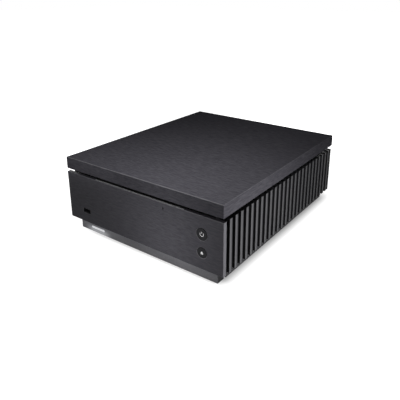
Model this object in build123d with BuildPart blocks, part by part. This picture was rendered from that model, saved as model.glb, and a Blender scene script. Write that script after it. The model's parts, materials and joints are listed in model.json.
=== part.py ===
from build123d import *
import os

os.makedirs("parts", exist_ok=True)

# Compact music server. Sizes are in millimetres. The front faces -Y, +X is the right-hand side seen from
# the front, and the origin lies under the middle of the footprint, on the surface that the server stands on.

# Clearances
screw_gap = 0.1  # round a screw in its hole, on the radius
shaft_gap = 0.05  # round a turning shaft, on the radius
slide_gap = 0.3  # between pieces that pass each other
socket_gap = 0.3  # round a socket in its cut-out
bay_gap = 1.0  # round the caddy in the rear panel

# Case
case_width = 245.0
case_depth = 288.0
stand_height = 16.5  # surface to the underside of the front panel
panel_height = 64.3
panel_thickness = 5.0
shadow_gap = 4.7  # open band between the panel and the lid
lid_height = 15.5
lid_side_inset = 0.5
lid_skin = 3.0  # metal left above the pocket in the lid
edge_break = 0.6
rear_overhang = 4.0  # lid past the rear end of the fins
base_thickness = 3.0
base_side_inset = 1.0
base_rear_inset = 31.0
rear_thickness = 3.0

# Finned sides
fin_depth = 14.0
fin_thickness = 5.2
fin_pitch = 10.9
first_fin_offset = 14.0  # panel face to the middle of the first fin
end_fin_thickness = 2.7
end_fin_room = 2.5  # least gap in front of the end fin
wall_thickness = 8.0
bar_width = 12.0  # upright bars that the panels are screwed to
bar_thickness = 5.0
tongue_width = 2.4  # along each bar, held in a groove of the wall
tongue_depth = 2.5

# Collar under the lid
collar_inset = 10.0
collar_front_bar = 6.0
collar_rear_bar = 10.0
slot_width = 140.0

# Plinth bar and feet
plinth_side_inset = 11.5
plinth_setback = 6.5
plinth_depth = 13.0
pad_thickness = 1.0
pad_length = 40.0
pad_margin = 2.0
pad_side_inset = 31.0  # end of the plinth bar to the middle of a pad
foot_radius = 11.0
foot_side_inset = 37.5
foot_rear_inset = 28.0
foot_edge = 1.5
lamp_side_inset = 32.0  # left end of the plinth bar to the middle of the lamp
lamp_width = 24.0
lamp_height = 7.0
lamp_depth = 4.0

# Fasteners
tie_radius = 2.0
tie_head_radius = 3.9
tie_head_height = 2.0
tie_grip = 8.0  # thread held in the lid
tie_front_inset = 34.0
tie_rear_inset = 10.0
screw_radius = 1.5
screw_head_radius = 2.8
screw_head_height = 1.8
screw_grip = 4.0
screw_edge = 6.0  # screw to the upper and lower edge of a panel

# Push buttons
button_side_inset = 28.2
standby_z = 59.0
eject_z = 36.7
standby_radius = 7.1
eject_radius = 6.3
button_gap = 0.2
button_recess = 0.2
button_travel = 0.9
button_flange = 1.4
button_flange_thickness = 1.0
button_edge = 0.4
stem_radius = 1.75
stem_reach = 1.2  # stem inside the switch at rest
switch_size = 6.0
switch_depth = 3.5
post_radius = 2.5
post_length = 7.5
post_offset = 11.3  # buttons to the posts beside them
relief_depth = 4.5
relief_length = 14.0
relief_margin = 1.6

# Boards
board_thickness = 1.6
board_level = 24.0  # underside of the main and power boards
stud_radius = 3.25
stud_inset = 5.0

# USB sockets
usb_width = 13.2
usb_height = 5.8
usb_wall = 0.35
usb_length = 18.0
usb_tongue_width = 11.1
usb_tongue_height = 1.9
usb_plug_depth = 3.0
usb_recess = 0.6
front_usb_side_inset = 31.5
front_usb_z = 32.3
usb_board_depth = 22.0
usb_board_width = 20.0

# Status lamp behind its pinhole
lamp_hole_inset = 29.5  # from the right-hand end of the disc slot
lamp_hole_drop = 6.7
lamp_hole_radius = 1.3
lamp_rod_radius = 1.2
lamp_rod_recess = 1.0
lamp_body_radius = 1.7

# Slot-loading disc drive
drive_width = 128.0
drive_depth = 131.0
drive_height = 12.7
drive_setback = 6.0  # panel's rear face to the drive's front
drive_drop = 4.3  # drive's underside below the top of the panel
drive_sheet = 0.8
felt_rise = 0.4
felt_height = 3.7
felt_gap = 0.4
bridge_sheet = 1.5
bridge_front_gap = 7.0
bridge_flange = 15.0
roller_radius = 2.4
roller_length = 110.0
roller_shaft_radius = 1.0
disc_radius = 60.0
disc_rear_room = 4.5  # disc edge to the drive's rear
spindle_radius = 13.0
spindle_height = 2.7
turntable_radius = 12.0
turntable_thickness = 1.6
hub_radius = 7.4
hub_height = 2.1
sled_inner = 24.0  # spindle to the lens at the start of its travel
sled_depth = 12.0
sled_height = 4.2
sled_rise = 0.4
rod_radius = 1.5
rod_offset = 22.0
rod_level = 2.5  # above the drive's floor
rod_block = 6.0
rod_block_depth = 4.0
rod_block_height = 4.7
rod_block_gap = 3.5  # in front of the sled at rest
sled_overhang = 4.0
screw_drive_x = 34.0
lens_radius = 2.5
lens_height = 0.5
sled_motor_width = 14.0
sled_motor_depth = 14.0
sled_motor_gap = 2.0

# Disk caddy
caddy_x = 25.0
caddy_width = 78.0
caddy_level = 53.5
caddy_sheet = 1.2
caddy_wall_height = 12.5
caddy_plate_width = 90.0
caddy_plate_drop = 4.0
caddy_plate_height = 23.0
caddy_plate_thickness = 3.0
disk_width = 69.85
disk_depth = 100.2
disk_height = 8.7
disk_cover = 0.8
disk_boss_height = 2.5
disk_boss_radius = 4.0
disk_front_gap = 9.5  # caddy's inner end to the disk
disk_rear_gap = 9.6  # disk to the caddy's plate
disk_hole_side = 61.7
disk_hole_rows = (14.0, 90.6)
rail_thickness = 2.7
rail_ledge = 7.0
rail_sheet = 1.2
handle_span = 30.0
handle_reach = 12.0
handle_bar = 3.5
handle_pin_radius = 1.5
lug_width = 6.0
lug_height = 6.5
lug_depth = 5.6
handle_level = 15.5  # pivot above the caddy plate's lower edge

# Main board and what stands on it
board_gap = 8.0  # between the power board and the main board
main_side_gap = 3.5
main_front_inset = 79.0
main_rear_gap = 6.0
processor_inset = 37.0  # from the right-hand edge of the main board
processor_setback = 45.0
processor_size = 32.0
processor_height = 3.4
spreader_depth = 40.0
spreader_thickness = 6.0
spreader_height = 21.0
memory_offset = 60.0  # behind the processor
memory_inset = 15.0
memory_depth = 5.0
memory_height = 10.2
chip_width = 8.0
chip_depth = 16.0
chip_height = 1.6
chip_inset = 32.0
chip_pitch = 32.0

# Power supply
power_side_gap = 2.5
power_width = 58.0
power_front_gap = 11.0
power_rear_inset = 27.0
core_inset = 32.0  # from the left-hand edge of the power board
core_setback = 69.0
core_radius = 31.0
core_bore = 9.0
core_height = 27.0
core_edge = 6.0
clamp_radius = 24.0
clamp_thickness = 1.5
clamp_nut = 10.0
clamp_nut_height = 5.0
clamp_stud_radius = 3.0
capacitor_radius = 9.0
capacitor_height = 32.0
capacitor_pitch_x = 24.0
capacitor_pitch_y = 27.0
capacitor_offset = 3.0  # in front of the middle of the power board

# Rear sockets
inlet_z = 36.0
inlet_width = 27.0
inlet_height = 20.0
inlet_flange_width = 50.0
inlet_flange_height = 26.0
inlet_flange = 2.5
inlet_depth = 18.0  # body behind the flange
inlet_mouth_width = 24.0
inlet_mouth_height = 16.4
inlet_floor = 4.0
inlet_corner = 3.0
inlet_hole_pitch = 40.0
blade_width = 2.0
blade_height = 4.0
blade_spread = 14.0
blade_drop = 2.0
blade_recess = 2.5
blade_tail = 7.0
switch_z = 64.0
rocker_body_width = 19.0
rocker_body_height = 14.0
rocker_body_depth = 16.0
rocker_flange = 1.5  # flange round the body, each side
rocker_flange_depth = 1.6
rocker_mouth_width = 16.4
rocker_mouth_height = 11.6
rocker_mouth_depth = 7.5
rocker_width = 15.8
rocker_half = 4.9
rocker_tilt = 9.0
rocker_crown = 3.0
rocker_waist = 1.6
rocker_keel = 2.2
rocker_side = 0.5
rocker_pivot_depth = 3.6
rocker_pin_radius = 1.2
rocker_pin_reach = 0.7
network_inset = 17.0  # from the right-hand edge of the main board
network_width = 16.0
network_height = 13.5
network_depth = 21.0
network_mouth_width = 11.8
network_mouth_height = 8.6
network_mouth_depth = 14.0
network_mouth_rise = 2.4
rear_usb_offset = 27.4
socket_proud = 0.6  # sockets past the rear panel's face
digital_share = 0.6  # of the way from the main board's left-hand studs to the rear USB socket
digital_block = 14.0
digital_block_height = 16.0
digital_radius = 4.15
digital_bore = 1.65
digital_length = 11.0
digital_nut = 12.0
digital_nut_depth = 2.0

# Leads
mains_lead_radius = 1.2
mains_lead_bend = 5.0
signal_lead_radius = 1.8
signal_lead_bend = 7.0
drive_lead_offset = 0.25  # towards the wall from the middle of its gap
panel_lead_inset = 9.5

# Planes and levels worked out from the sizes above
half_width = case_width / 2
front = -case_depth / 2
back = case_depth / 2
panel_back = front + panel_thickness
panel_top = stand_height + panel_height
lid_bottom = panel_top + shadow_gap
lid_width = case_width - 2 * lid_side_inset
side_start = panel_back
side_end = back - rear_overhang
wall_outside = half_width - fin_depth
wall_inside = wall_outside - wall_thickness
base_bottom = stand_height - base_thickness
base_front = front + plinth_setback
base_end = back - base_rear_inset
rear_face = base_end
rear_inner = rear_face - rear_thickness
board_top = board_level + board_thickness
plinth_width = case_width - 2 * plinth_side_inset
pad_offset = plinth_width / 2 - pad_side_inset
lamp_x = lamp_side_inset - plinth_width / 2
button_x = half_width - button_side_inset
post_x = button_x - post_offset
front_usb_x = front_usb_side_inset - half_width
lamp_hole_x = slot_width / 2 - lamp_hole_inset
caddy_depth = disk_front_gap + disk_depth + disk_rear_gap

# Floor plan: power supply on the left, main board on the right
power_left = power_side_gap - wall_inside
power_right = power_left + power_width
core_x = power_left + core_inset
core_y = side_start + core_setback
power_front = core_y + core_radius + power_front_gap
power_rear = rear_face - power_rear_inset
inlet_x = core_x
main_left = power_right + board_gap
main_right = wall_inside - main_side_gap
main_front = front + main_front_inset
main_rear = rear_inner - main_rear_gap
processor_x = main_right - processor_inset
processor_y = main_front + processor_setback
memory_y = processor_y + memory_offset
network_x = main_right - network_inset
rear_usb_x = network_x - rear_usb_offset
main_stud_left = main_left + stud_inset
digital_x = main_stud_left + digital_share * (rear_usb_x - main_stud_left)

standing = (Align.CENTER, Align.CENTER, Align.MIN)
hanging = (Align.CENTER, Align.CENTER, Align.MAX)
facing = {
    "up": (0, 0, 0),
    "down": (180, 0, 0),
    "back": (-90, 0, 0),
    "front": (90, 0, 0),
    "right": (0, 90, 0),
    "left": (0, -90, 0),
}


def save(piece, name):
    """Label a finished piece and write it."""
    piece.part.label = name
    export_step(piece.part, f"parts/{name}.step")


def block(x, y, z, mode=Mode.ADD):
    """A box between two limits on each axis."""
    with Locations(((x[0] + x[1]) / 2, (y[0] + y[1]) / 2, (z[0] + z[1]) / 2)):
        Box(x[1] - x[0], y[1] - y[0], z[1] - z[0], mode=mode)


def round_bars(places, way, radius, length, mode=Mode.ADD):
    """Round bars, or bores, that start at the places and run one way."""
    with Locations(*[Location(place, facing[way]) for place in places]):
        Cylinder(radius, length, align=standing, mode=mode)


def pan_screws(places, way, length):
    """Pan-head screws: the shank runs one way from the seat and the head stands on the other side."""
    with Locations(*[Location(place, facing[way]) for place in places]):
        Cylinder(screw_radius, length, align=standing)
        Cylinder(screw_head_radius, screw_head_height, align=hanging)


def screw_bores(places, way, depth):
    """Clear holes for the pan-head screws."""
    round_bars(places, way, screw_radius + screw_gap, depth, Mode.SUBTRACT)


def countersunk(places, way, length, gap=0.0, mode=Mode.ADD):
    """Countersunk bolts from their head end, or the holes that take them when a gap is given."""
    with Locations(*[Location(place, facing[way]) for place in places]):
        Cone(tie_head_radius + gap, tie_radius + gap, tie_head_height, align=standing, mode=mode)
        Cylinder(tie_radius + gap, length, align=standing, mode=mode)


def tie_bores(spots, level, depth):
    """Clear holes for the tie bolts, upwards from one level."""
    round_bars([(x, y, level) for x, y in spots], "up", tie_radius + screw_gap, depth, Mode.SUBTRACT)


# Where the tie bolts clamp base, sides, collar and lid together
tie_x = wall_inside + wall_thickness / 2
tie_front = side_start + tie_front_inset
tie_rear = base_end - tie_rear_inset
tie_spots = [(side * tie_x, y) for side in (-1, 1) for y in (tie_front, (tie_front + tie_rear) / 2, tie_rear)]

# Where screws hold the panels to the upright bars on the finned sides
bar_x = wall_inside - bar_width / 2
bar_spots = [(x, z) for x in (-bar_x, bar_x) for z in (stand_height + screw_edge, panel_top - screw_edge)]
bar_rows = (side_start + bar_thickness / 2, rear_inner - bar_thickness / 2)

# Drive planes
drive_front = panel_back + drive_setback
drive_rear = drive_front + drive_depth
drive_bottom = panel_top - drive_drop
drive_top = drive_bottom + drive_height
drive_floor = drive_bottom + drive_sheet
mouth_bottom = panel_top + felt_rise
bridge_front = drive_front + bridge_front_gap
bridge_bottom = drive_bottom - bridge_sheet
spindle_y = drive_rear - disc_rear_room - disc_radius

# Collar and the pockets in the lid
collar_side = half_width - collar_inset
collar_front = front + collar_inset
pocket_side = tie_x - tie_radius - lid_skin
pocket_front = collar_front + collar_front_bar
pocket_rear = base_end - collar_rear_bar
drive_pocket_side = drive_width / 2 + edge_break
drive_pocket_front = drive_front - edge_break

with BuildPart() as lid:
    with BuildSketch(Plane.XY.offset(lid_bottom)):
        Rectangle(lid_width, case_depth)
    extrude(amount=lid_height)
    chamfer(lid.edges().group_by(Axis.Z)[-1], edge_break)
    with BuildSketch(Plane.XY.offset(lid_bottom)):
        with Locations((0, (pocket_front + pocket_rear) / 2)):
            Rectangle(2 * pocket_side, pocket_rear - pocket_front)
        with Locations((0, (drive_pocket_front + pocket_front) / 2)):
            Rectangle(2 * drive_pocket_side, pocket_front - drive_pocket_front)
    extrude(amount=lid_height - lid_skin, mode=Mode.SUBTRACT)
    tie_bores(tie_spots, lid_bottom, tie_grip)
save(lid, "lid")

with BuildPart() as top_collar:
    with BuildSketch(Plane.XY.offset(panel_top)):
        with Locations((0, (collar_front + base_end) / 2)):
            Rectangle(2 * collar_side, base_end - collar_front)
        with Locations((0, (pocket_front + pocket_rear) / 2)):
            Rectangle(2 * wall_inside, pocket_rear - pocket_front, mode=Mode.SUBTRACT)
        with Locations((0, collar_front + collar_front_bar / 2)):
            Rectangle(slot_width, collar_front_bar, mode=Mode.SUBTRACT)
    extrude(amount=shadow_gap)
    tie_bores(tie_spots, panel_top, shadow_gap)
save(top_collar, "top_collar")

# Upright fins on a thick wall, which has a groove for each of the panels' bars
first_fin = front + first_fin_offset
fin_room = side_end - end_fin_thickness - end_fin_room - fin_thickness / 2 - first_fin
fin_count = int(fin_room // fin_pitch) + 1
fin_middle = first_fin + fin_pitch * (fin_count - 1) / 2
relief_bottom = eject_z - eject_radius - button_flange - relief_margin
relief_top = standby_z + standby_radius + button_flange + relief_margin
bridge_screw_z = bridge_bottom - bridge_flange / 2
bridge_screw_rows = (bridge_front + screw_edge + 2 * screw_head_radius, drive_rear - 2 * screw_edge)


def finned_side(side):
    """One side of the case: -1 is the left, 1 the right."""
    with BuildPart() as piece:
        with BuildSketch(Plane.XY.offset(stand_height)):
            with Locations((side * tie_x, (side_start + side_end) / 2)):
                Rectangle(wall_thickness, side_end - side_start)
            with Locations((side * (wall_outside + fin_depth / 2), fin_middle)):
                with GridLocations(fin_depth, fin_pitch, 1, fin_count):
                    Rectangle(fin_depth, fin_thickness)
            with Locations((side * (wall_outside + fin_depth / 2), side_end - end_fin_thickness / 2)):
                Rectangle(fin_depth, end_fin_thickness)
            with Locations(*[(side * (wall_inside + tongue_depth / 2), y) for y in bar_rows]):
                Rectangle(tongue_depth, tongue_width + 2 * shaft_gap, mode=Mode.SUBTRACT)
        extrude(amount=panel_height)
        # Relief behind the push buttons and the front socket
        block(
            sorted((side * wall_inside, side * (wall_inside + relief_depth))),
            (side_start, side_start + relief_length),
            (relief_bottom, relief_top),
            Mode.SUBTRACT,
        )
        tie_bores([(x, y) for x, y in tie_spots if x * side > 0], stand_height, panel_height)
        bridge_seats = [(side * wall_inside, y, bridge_screw_z) for y in bridge_screw_rows]
        screw_bores(bridge_seats, "right" if side > 0 else "left", screw_grip)
    return piece


save(finned_side(-1), "left_heatsink")
save(finned_side(1), "right_heatsink")

# Bars that carry the panels, each with a tongue in the wall; the front ones leave room for buttons and felt
with BuildPart() as panel_bars:
    with BuildSketch(Plane.XY.offset(stand_height)):
        for side in (-1, 1):
            with Locations(*[(side * bar_x, y) for y in bar_rows]):
                Rectangle(bar_width, bar_thickness)
            tongue_middle = wall_inside + (tongue_depth - shaft_gap) / 2
            with Locations(*[(side * tongue_middle, y) for y in bar_rows]):
                Rectangle(tongue_depth - shaft_gap, tongue_width)
    extrude(amount=panel_height)
    bar_reach = wall_inside + tongue_depth
    bar_window = (side_start, side_start + bar_thickness)
    block((-bar_reach, bar_reach), bar_window, (relief_bottom, relief_top), Mode.SUBTRACT)
    bar_top = mouth_bottom - felt_height - slide_gap
    block((-bar_reach, bar_reach), bar_window, (bar_top, panel_top), Mode.SUBTRACT)
    screw_bores([(x, side_start, z) for x, z in bar_spots], "back", bar_thickness)
    screw_bores([(x, rear_inner, z) for x, z in bar_spots], "front", screw_grip)
save(panel_bars, "panel_bars")

# Places on the front panel
post_spots = [
    (post_x, eject_z - eject_radius - post_radius - relief_margin),
    (post_x, (standby_z + eject_z) / 2),
    (post_x, standby_z + standby_radius + post_radius + relief_margin),
]
lamp_hole_z = panel_top - lamp_hole_drop
panel_grip = panel_thickness - 2 * edge_break
button_holes = ((standby_z, standby_radius), (eject_z, eject_radius))

with BuildPart() as front_panel:
    with BuildSketch(Plane.XZ.offset(-panel_back)):
        with Locations((0, stand_height + panel_height / 2)):
            Rectangle(case_width, panel_height)
        with Locations((front_usb_x, front_usb_z)):
            Rectangle(usb_width + 2 * socket_gap, usb_height + 2 * socket_gap, mode=Mode.SUBTRACT)
        with Locations((lamp_hole_x, lamp_hole_z)):
            Circle(lamp_hole_radius, mode=Mode.SUBTRACT)
        for z, radius in button_holes:
            with Locations((button_x, z)):
                Circle(radius + button_gap, mode=Mode.SUBTRACT)
    extrude(amount=panel_thickness)
    chamfer(front_panel.faces().sort_by(Axis.Y)[0].edges().filter_by(GeomType.LINE), edge_break / 2)
    rims = front_panel.faces().sort_by(Axis.Y)[0].edges().filter_by(GeomType.CIRCLE)
    chamfer(rims.sort_by(SortBy.RADIUS)[1:], edge_break)
    round_bars([(x, panel_back, z) for x, z in post_spots], "back", post_radius, post_length)
    screw_bores([(x, panel_back + post_length, z) for x, z in post_spots], "front", screw_grip)
    screw_bores([(x, panel_back, z) for x, z in bar_spots], "front", panel_grip)
save(front_panel, "front_panel")


def push_button(z, radius, name):
    """Round cap with a flange behind the panel and a stem that works the switch."""
    face = front + button_recess
    flange_front = panel_back + slide_gap
    flange_back = flange_front + button_flange_thickness
    with BuildPart() as piece:
        round_bars([(button_x, face, z)], "back", radius, flange_back - face)
        fillet(piece.edges().filter_by(GeomType.CIRCLE).sort_by(Axis.Y)[0], button_edge)
        round_bars([(button_x, flange_front, z)], "back", radius + button_flange, button_flange_thickness)
        round_bars([(button_x, flange_back, z)], "back", stem_radius, switch_front + stem_reach - flange_back)
    save(piece, name)


button_board_front = panel_back + post_length
switch_front = button_board_front - switch_depth
push_button(standby_z, standby_radius, "standby_button")
push_button(eject_z, eject_radius, "eject_button")

with BuildPart() as button_switches:
    for z in (standby_z, eject_z):
        block(
            (button_x - switch_size / 2, button_x + switch_size / 2),
            (switch_front, button_board_front),
            (z - switch_size / 2, z + switch_size / 2),
        )
        bore_depth = stem_reach + button_travel + slide_gap
        round_bars([(button_x, switch_front, z)], "back", stem_radius + screw_gap, bore_depth, Mode.SUBTRACT)
save(button_switches, "button_switches")

# Upright board behind the buttons, with an arm to the status lamp
button_board_right = wall_inside - bay_gap
button_board_left = post_x - stud_inset
button_board_bottom = post_spots[0][1] - post_radius - bay_gap
button_board_top = drive_bottom - 2 * slide_gap
lamp_arm_left = lamp_hole_x - stud_inset
lamp_arm_bottom = lamp_hole_z - stud_inset

with BuildPart() as button_board:
    board_span = (button_board_front, button_board_front + board_thickness)
    block((button_board_left, button_board_right), board_span, (button_board_bottom, button_board_top))
    block((lamp_arm_left, button_board_left), board_span, (lamp_arm_bottom, button_board_top))
    screw_bores([(x, button_board_front, z) for x, z in post_spots], "back", board_thickness)
save(button_board, "button_board")

with BuildPart() as status_light:
    lamp_front = front + lamp_rod_recess
    round_bars([(lamp_hole_x, lamp_front, lamp_hole_z)], "back", lamp_rod_radius, panel_back - lamp_front)
    round_bars([(lamp_hole_x, panel_back, lamp_hole_z)], "back", lamp_body_radius, post_length)
save(status_light, "status_light")


def usb_socket(x, z, mouth, inward, shell_name, tongue_name):
    """Plated shell and its contact tongue; inward is the way from the mouth to the closed end."""
    end = mouth + inward * usb_length
    inner = (usb_width / 2 - usb_wall, usb_height / 2 - usb_wall)
    with BuildPart() as shell:
        block(
            (x - usb_width / 2, x + usb_width / 2),
            sorted((mouth, end)),
            (z - usb_height / 2, z + usb_height / 2),
        )
        block((x - inner[0], x + inner[0]), sorted((mouth, end)), (z - inner[1], z + inner[1]), Mode.SUBTRACT)
    save(shell, shell_name)
    with BuildPart() as tongue:
        plug_start = end - inward * usb_plug_depth
        across = inner[0] - shaft_gap
        upright = inner[1] - shaft_gap
        block((x - across, x + across), sorted((plug_start, end)), (z - upright, z + upright))
        tongue_tip = mouth + inward * usb_plug_depth
        block(
            (x - usb_tongue_width / 2, x + usb_tongue_width / 2),
            sorted((tongue_tip, plug_start)),
            (z + usb_wall, z + usb_wall + usb_tongue_height),
        )
    save(tongue, tongue_name)


usb_socket(front_usb_x, front_usb_z, front + usb_recess, 1, "front_usb_shell", "front_usb_tongue")

# Small flat board that carries the front socket on two studs
usb_board_top = front_usb_z - usb_height / 2
usb_board_bottom = usb_board_top - board_thickness
usb_board_left = -wall_inside + bay_gap
usb_board_rear = panel_back + usb_board_depth
usb_studs = [
    (usb_board_left + stud_inset, usb_board_rear - stud_radius - slide_gap),
    (usb_board_left + usb_board_width - stud_inset, usb_board_rear - stud_radius - slide_gap),
]
with BuildPart() as front_usb_board:
    block(
        (usb_board_left, usb_board_left + usb_board_width),
        (panel_back + slide_gap, usb_board_rear),
        (usb_board_bottom, usb_board_top),
    )
    screw_bores([(x, y, usb_board_top) for x, y in usb_studs], "down", board_thickness)
save(front_usb_board, "front_usb_board")

# Base plate with its studs
main_studs = [
    (x, y)
    for x in (main_stud_left, main_right - stud_inset)
    for y in (main_front + stud_inset, main_rear - stud_inset)
]
power_studs = [
    (x, y)
    for x in (power_left + stud_inset, power_right - stud_inset)
    for y in (power_front + stud_inset, power_rear - stud_inset)
]
plinth_y = base_front + plinth_depth / 2
tie_seats = [(x, y, base_bottom) for x, y in tie_spots]
plinth_screw_seats = [(x, plinth_y, stand_height) for x in (-plinth_width / 4, 0, plinth_width / 4)]
clamp_top = stand_height + core_height + clamp_thickness + clamp_nut_height

with BuildPart() as base_plate:
    with BuildSketch(Plane.XY.offset(base_bottom)):
        with Locations((0, (base_front + base_end) / 2)):
            Rectangle(case_width - 2 * base_side_inset, base_end - base_front)
    extrude(amount=base_thickness)
    studs = [(x, y, stand_height) for x, y in main_studs + power_studs]
    round_bars(studs, "up", stud_radius, board_level - stand_height)
    screw_bores([(x, y, board_level) for x, y in main_studs + power_studs], "down", screw_grip)
    usb_seats = [(x, y, stand_height) for x, y in usb_studs]
    round_bars(usb_seats, "up", stud_radius, usb_board_bottom - stand_height)
    screw_bores([(x, y, usb_board_bottom) for x, y in usb_studs], "down", screw_grip)
    round_bars([(core_x, core_y, stand_height)], "up", clamp_stud_radius, clamp_top - stand_height)
    countersunk(tie_seats, "up", base_thickness, screw_gap, Mode.SUBTRACT)
    countersunk(plinth_screw_seats, "down", base_thickness, screw_gap, Mode.SUBTRACT)
save(base_plate, "base_plate")

with BuildPart() as tie_bolts:
    countersunk(tie_seats, "up", lid_bottom + tie_grip - base_bottom)
save(tie_bolts, "tie_bolts")

# Plinth bar, lit from behind near its left end
plinth_screw_depth = base_thickness + plinth_depth / 2
lamp_span = (lamp_x - lamp_width / 2, lamp_x + lamp_width / 2)
lamp_middle = (pad_thickness + base_bottom) / 2
lamp_rise = (lamp_middle - lamp_height / 2, lamp_middle + lamp_height / 2)
plinth_rear = base_front + plinth_depth

with BuildPart() as plinth_bar:
    with BuildSketch(Plane.XY.offset(pad_thickness)):
        with Locations((0, plinth_y)):
            Rectangle(plinth_width, plinth_depth)
    extrude(amount=base_bottom - pad_thickness)
    chamfer(plinth_bar.edges().filter_by(Axis.Z), edge_break)
    block(
        (lamp_span[0] - slide_gap, lamp_span[1] + slide_gap),
        (plinth_rear - lamp_depth, plinth_rear),
        (lamp_rise[0] - slide_gap, lamp_rise[1] + slide_gap),
        Mode.SUBTRACT,
    )
    round_bars(plinth_screw_seats, "down", tie_radius + screw_gap, plinth_screw_depth, Mode.SUBTRACT)
save(plinth_bar, "plinth_bar")

with BuildPart() as light_strip:
    block(lamp_span, (plinth_rear - lamp_depth, plinth_rear), lamp_rise)
save(light_strip, "light_strip")

with BuildPart() as plinth_screws:
    countersunk(plinth_screw_seats, "down", plinth_screw_depth)
save(plinth_screws, "plinth_screws")

with BuildPart() as plinth_pads:
    with BuildSketch(Plane.XY):
        with Locations((-pad_offset, plinth_y), (pad_offset, plinth_y)):
            Rectangle(pad_length, plinth_depth - 2 * pad_margin)
    extrude(amount=pad_thickness)
save(plinth_pads, "plinth_pads")

foot_x = half_width - foot_side_inset
foot_y = base_end - foot_rear_inset
with BuildPart() as rear_feet:
    round_bars([(-foot_x, foot_y, 0), (foot_x, foot_y, 0)], "up", foot_radius, base_bottom)
    fillet(rear_feet.edges().filter_by(GeomType.CIRCLE).group_by(Axis.Z)[0], foot_edge)
save(rear_feet, "rear_feet")

# Places on the rear panel
caddy_side = caddy_width / 2
caddy_floor = caddy_level + caddy_sheet
disk_bottom = caddy_floor + disk_boss_height
disk_top = disk_bottom + disk_height + disk_cover
bay_bottom = caddy_level - bay_gap
bay_top = disk_top + bay_gap
inlet_screw_spots = [(inlet_x - inlet_hole_pitch / 2, inlet_z), (inlet_x + inlet_hole_pitch / 2, inlet_z)]
network_z = board_top + network_height / 2
rear_usb_z = board_top + usb_height / 2
digital_z = board_top + digital_block_height / 2
rear_windows = (
    (inlet_x, inlet_z, inlet_width, inlet_height),
    (inlet_x, switch_z, rocker_body_width, rocker_body_height),
    (network_x, network_z, network_width, network_height),
    (rear_usb_x, rear_usb_z, usb_width, usb_height),
)

with BuildPart() as rear_panel:
    with BuildSketch(Plane.XZ.offset(-rear_face)):
        with Locations((0, stand_height + panel_height / 2)):
            Rectangle(2 * (wall_inside - slide_gap), panel_height)
        for x, z, width, height in rear_windows:
            with Locations((x, z)):
                Rectangle(width + 2 * socket_gap, height + 2 * socket_gap, mode=Mode.SUBTRACT)
        with Locations((caddy_x, (bay_bottom + bay_top) / 2)):
            Rectangle(caddy_width + 2 * bay_gap, bay_top - bay_bottom, mode=Mode.SUBTRACT)
        with Locations((digital_x, digital_z)):
            Circle(digital_radius + socket_gap, mode=Mode.SUBTRACT)
    extrude(amount=rear_thickness)
    screw_bores([(x, rear_face, z) for x, z in bar_spots + inlet_screw_spots], "front", rear_thickness)
save(rear_panel, "rear_panel")

with BuildPart() as case_screws:
    bar_seats = [(x, side_start + bar_thickness, z) for x, z in bar_spots]
    pan_screws(bar_seats, "front", bar_thickness + panel_grip / 2)
    pan_screws([(x, rear_face, z) for x, z in bar_spots], "front", rear_thickness + screw_grip / 2)
    inlet_seat = rear_face + inlet_flange
    pan_screws([(x, inlet_seat, z) for x, z in inlet_screw_spots], "front", inlet_flange + rear_thickness)
save(case_screws, "case_screws")

with BuildPart() as board_screws:
    board_screw_length = board_thickness + screw_grip / 2
    pan_screws([(x, y, board_top) for x, y in main_studs + power_studs], "down", board_screw_length)
    pan_screws([(x, y, usb_board_top) for x, y in usb_studs], "down", board_screw_length)
    button_board_back = button_board_front + board_thickness
    pan_screws([(x, button_board_back, z) for x, z in post_spots], "front", board_screw_length)
save(board_screws, "board_screws")

# Slot-loading drive on its bridge
drive_side = drive_width / 2
drive_middle = (drive_front + drive_rear) / 2
tray_top = drive_top - drive_sheet
tray_inner = drive_side - drive_sheet
roller_y = drive_front + drive_sheet + slide_gap + roller_radius
roller_z = drive_floor + slide_gap + roller_radius
rod_z = drive_floor + rod_level
sled_y = spindle_y + sled_inner
rod_block_rear = sled_y - sled_depth / 2 - rod_block_gap
rear_wall = drive_rear - drive_sheet
motor_rear = rod_block_rear - rod_block_depth - sled_motor_gap
drive_screw_x = drive_side - 2 * screw_edge
drive_screw_spots = [(x, y) for x in (-drive_screw_x, drive_screw_x) for y in bridge_screw_rows]

with BuildPart() as drive_tray:
    with BuildSketch(Plane.XY.offset(drive_bottom)):
        with Locations((0, drive_middle)):
            Rectangle(drive_width, drive_depth)
    extrude(amount=tray_top - drive_bottom)
    with BuildSketch(Plane.XY.offset(drive_floor)):
        with Locations((0, drive_middle)):
            Rectangle(2 * tray_inner, drive_depth - 2 * drive_sheet)
    extrude(amount=drive_height, mode=Mode.SUBTRACT)
    # Disc mouth
    mouth_depth = (drive_front, drive_front + drive_sheet)
    block((-tray_inner, tray_inner), mouth_depth, (mouth_bottom, tray_top), Mode.SUBTRACT)
    # Blocks that carry the guide rods
    for x in (-rod_offset, rod_offset):
        block(
            (x - rod_block / 2, x + rod_block / 2),
            (rod_block_rear - rod_block_depth, rod_block_rear),
            (drive_floor, drive_floor + rod_block_height),
        )
    rod_seats = [(x, rod_block_rear, rod_z) for x in (-rod_offset, rod_offset)]
    round_bars(rod_seats, "front", rod_radius + shaft_gap, rod_block_depth, Mode.SUBTRACT)
    leadscrew_seat = [(screw_drive_x, drive_rear, rod_z)]
    round_bars(leadscrew_seat, "front", roller_shaft_radius + shaft_gap, drive_sheet, Mode.SUBTRACT)
    roller_seat = [(-drive_side, roller_y, roller_z)]
    round_bars(roller_seat, "right", roller_shaft_radius + shaft_gap, drive_width, Mode.SUBTRACT)
    screw_bores([(x, y, drive_bottom) for x, y in drive_screw_spots], "up", drive_sheet)
save(drive_tray, "drive_tray")

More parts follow.
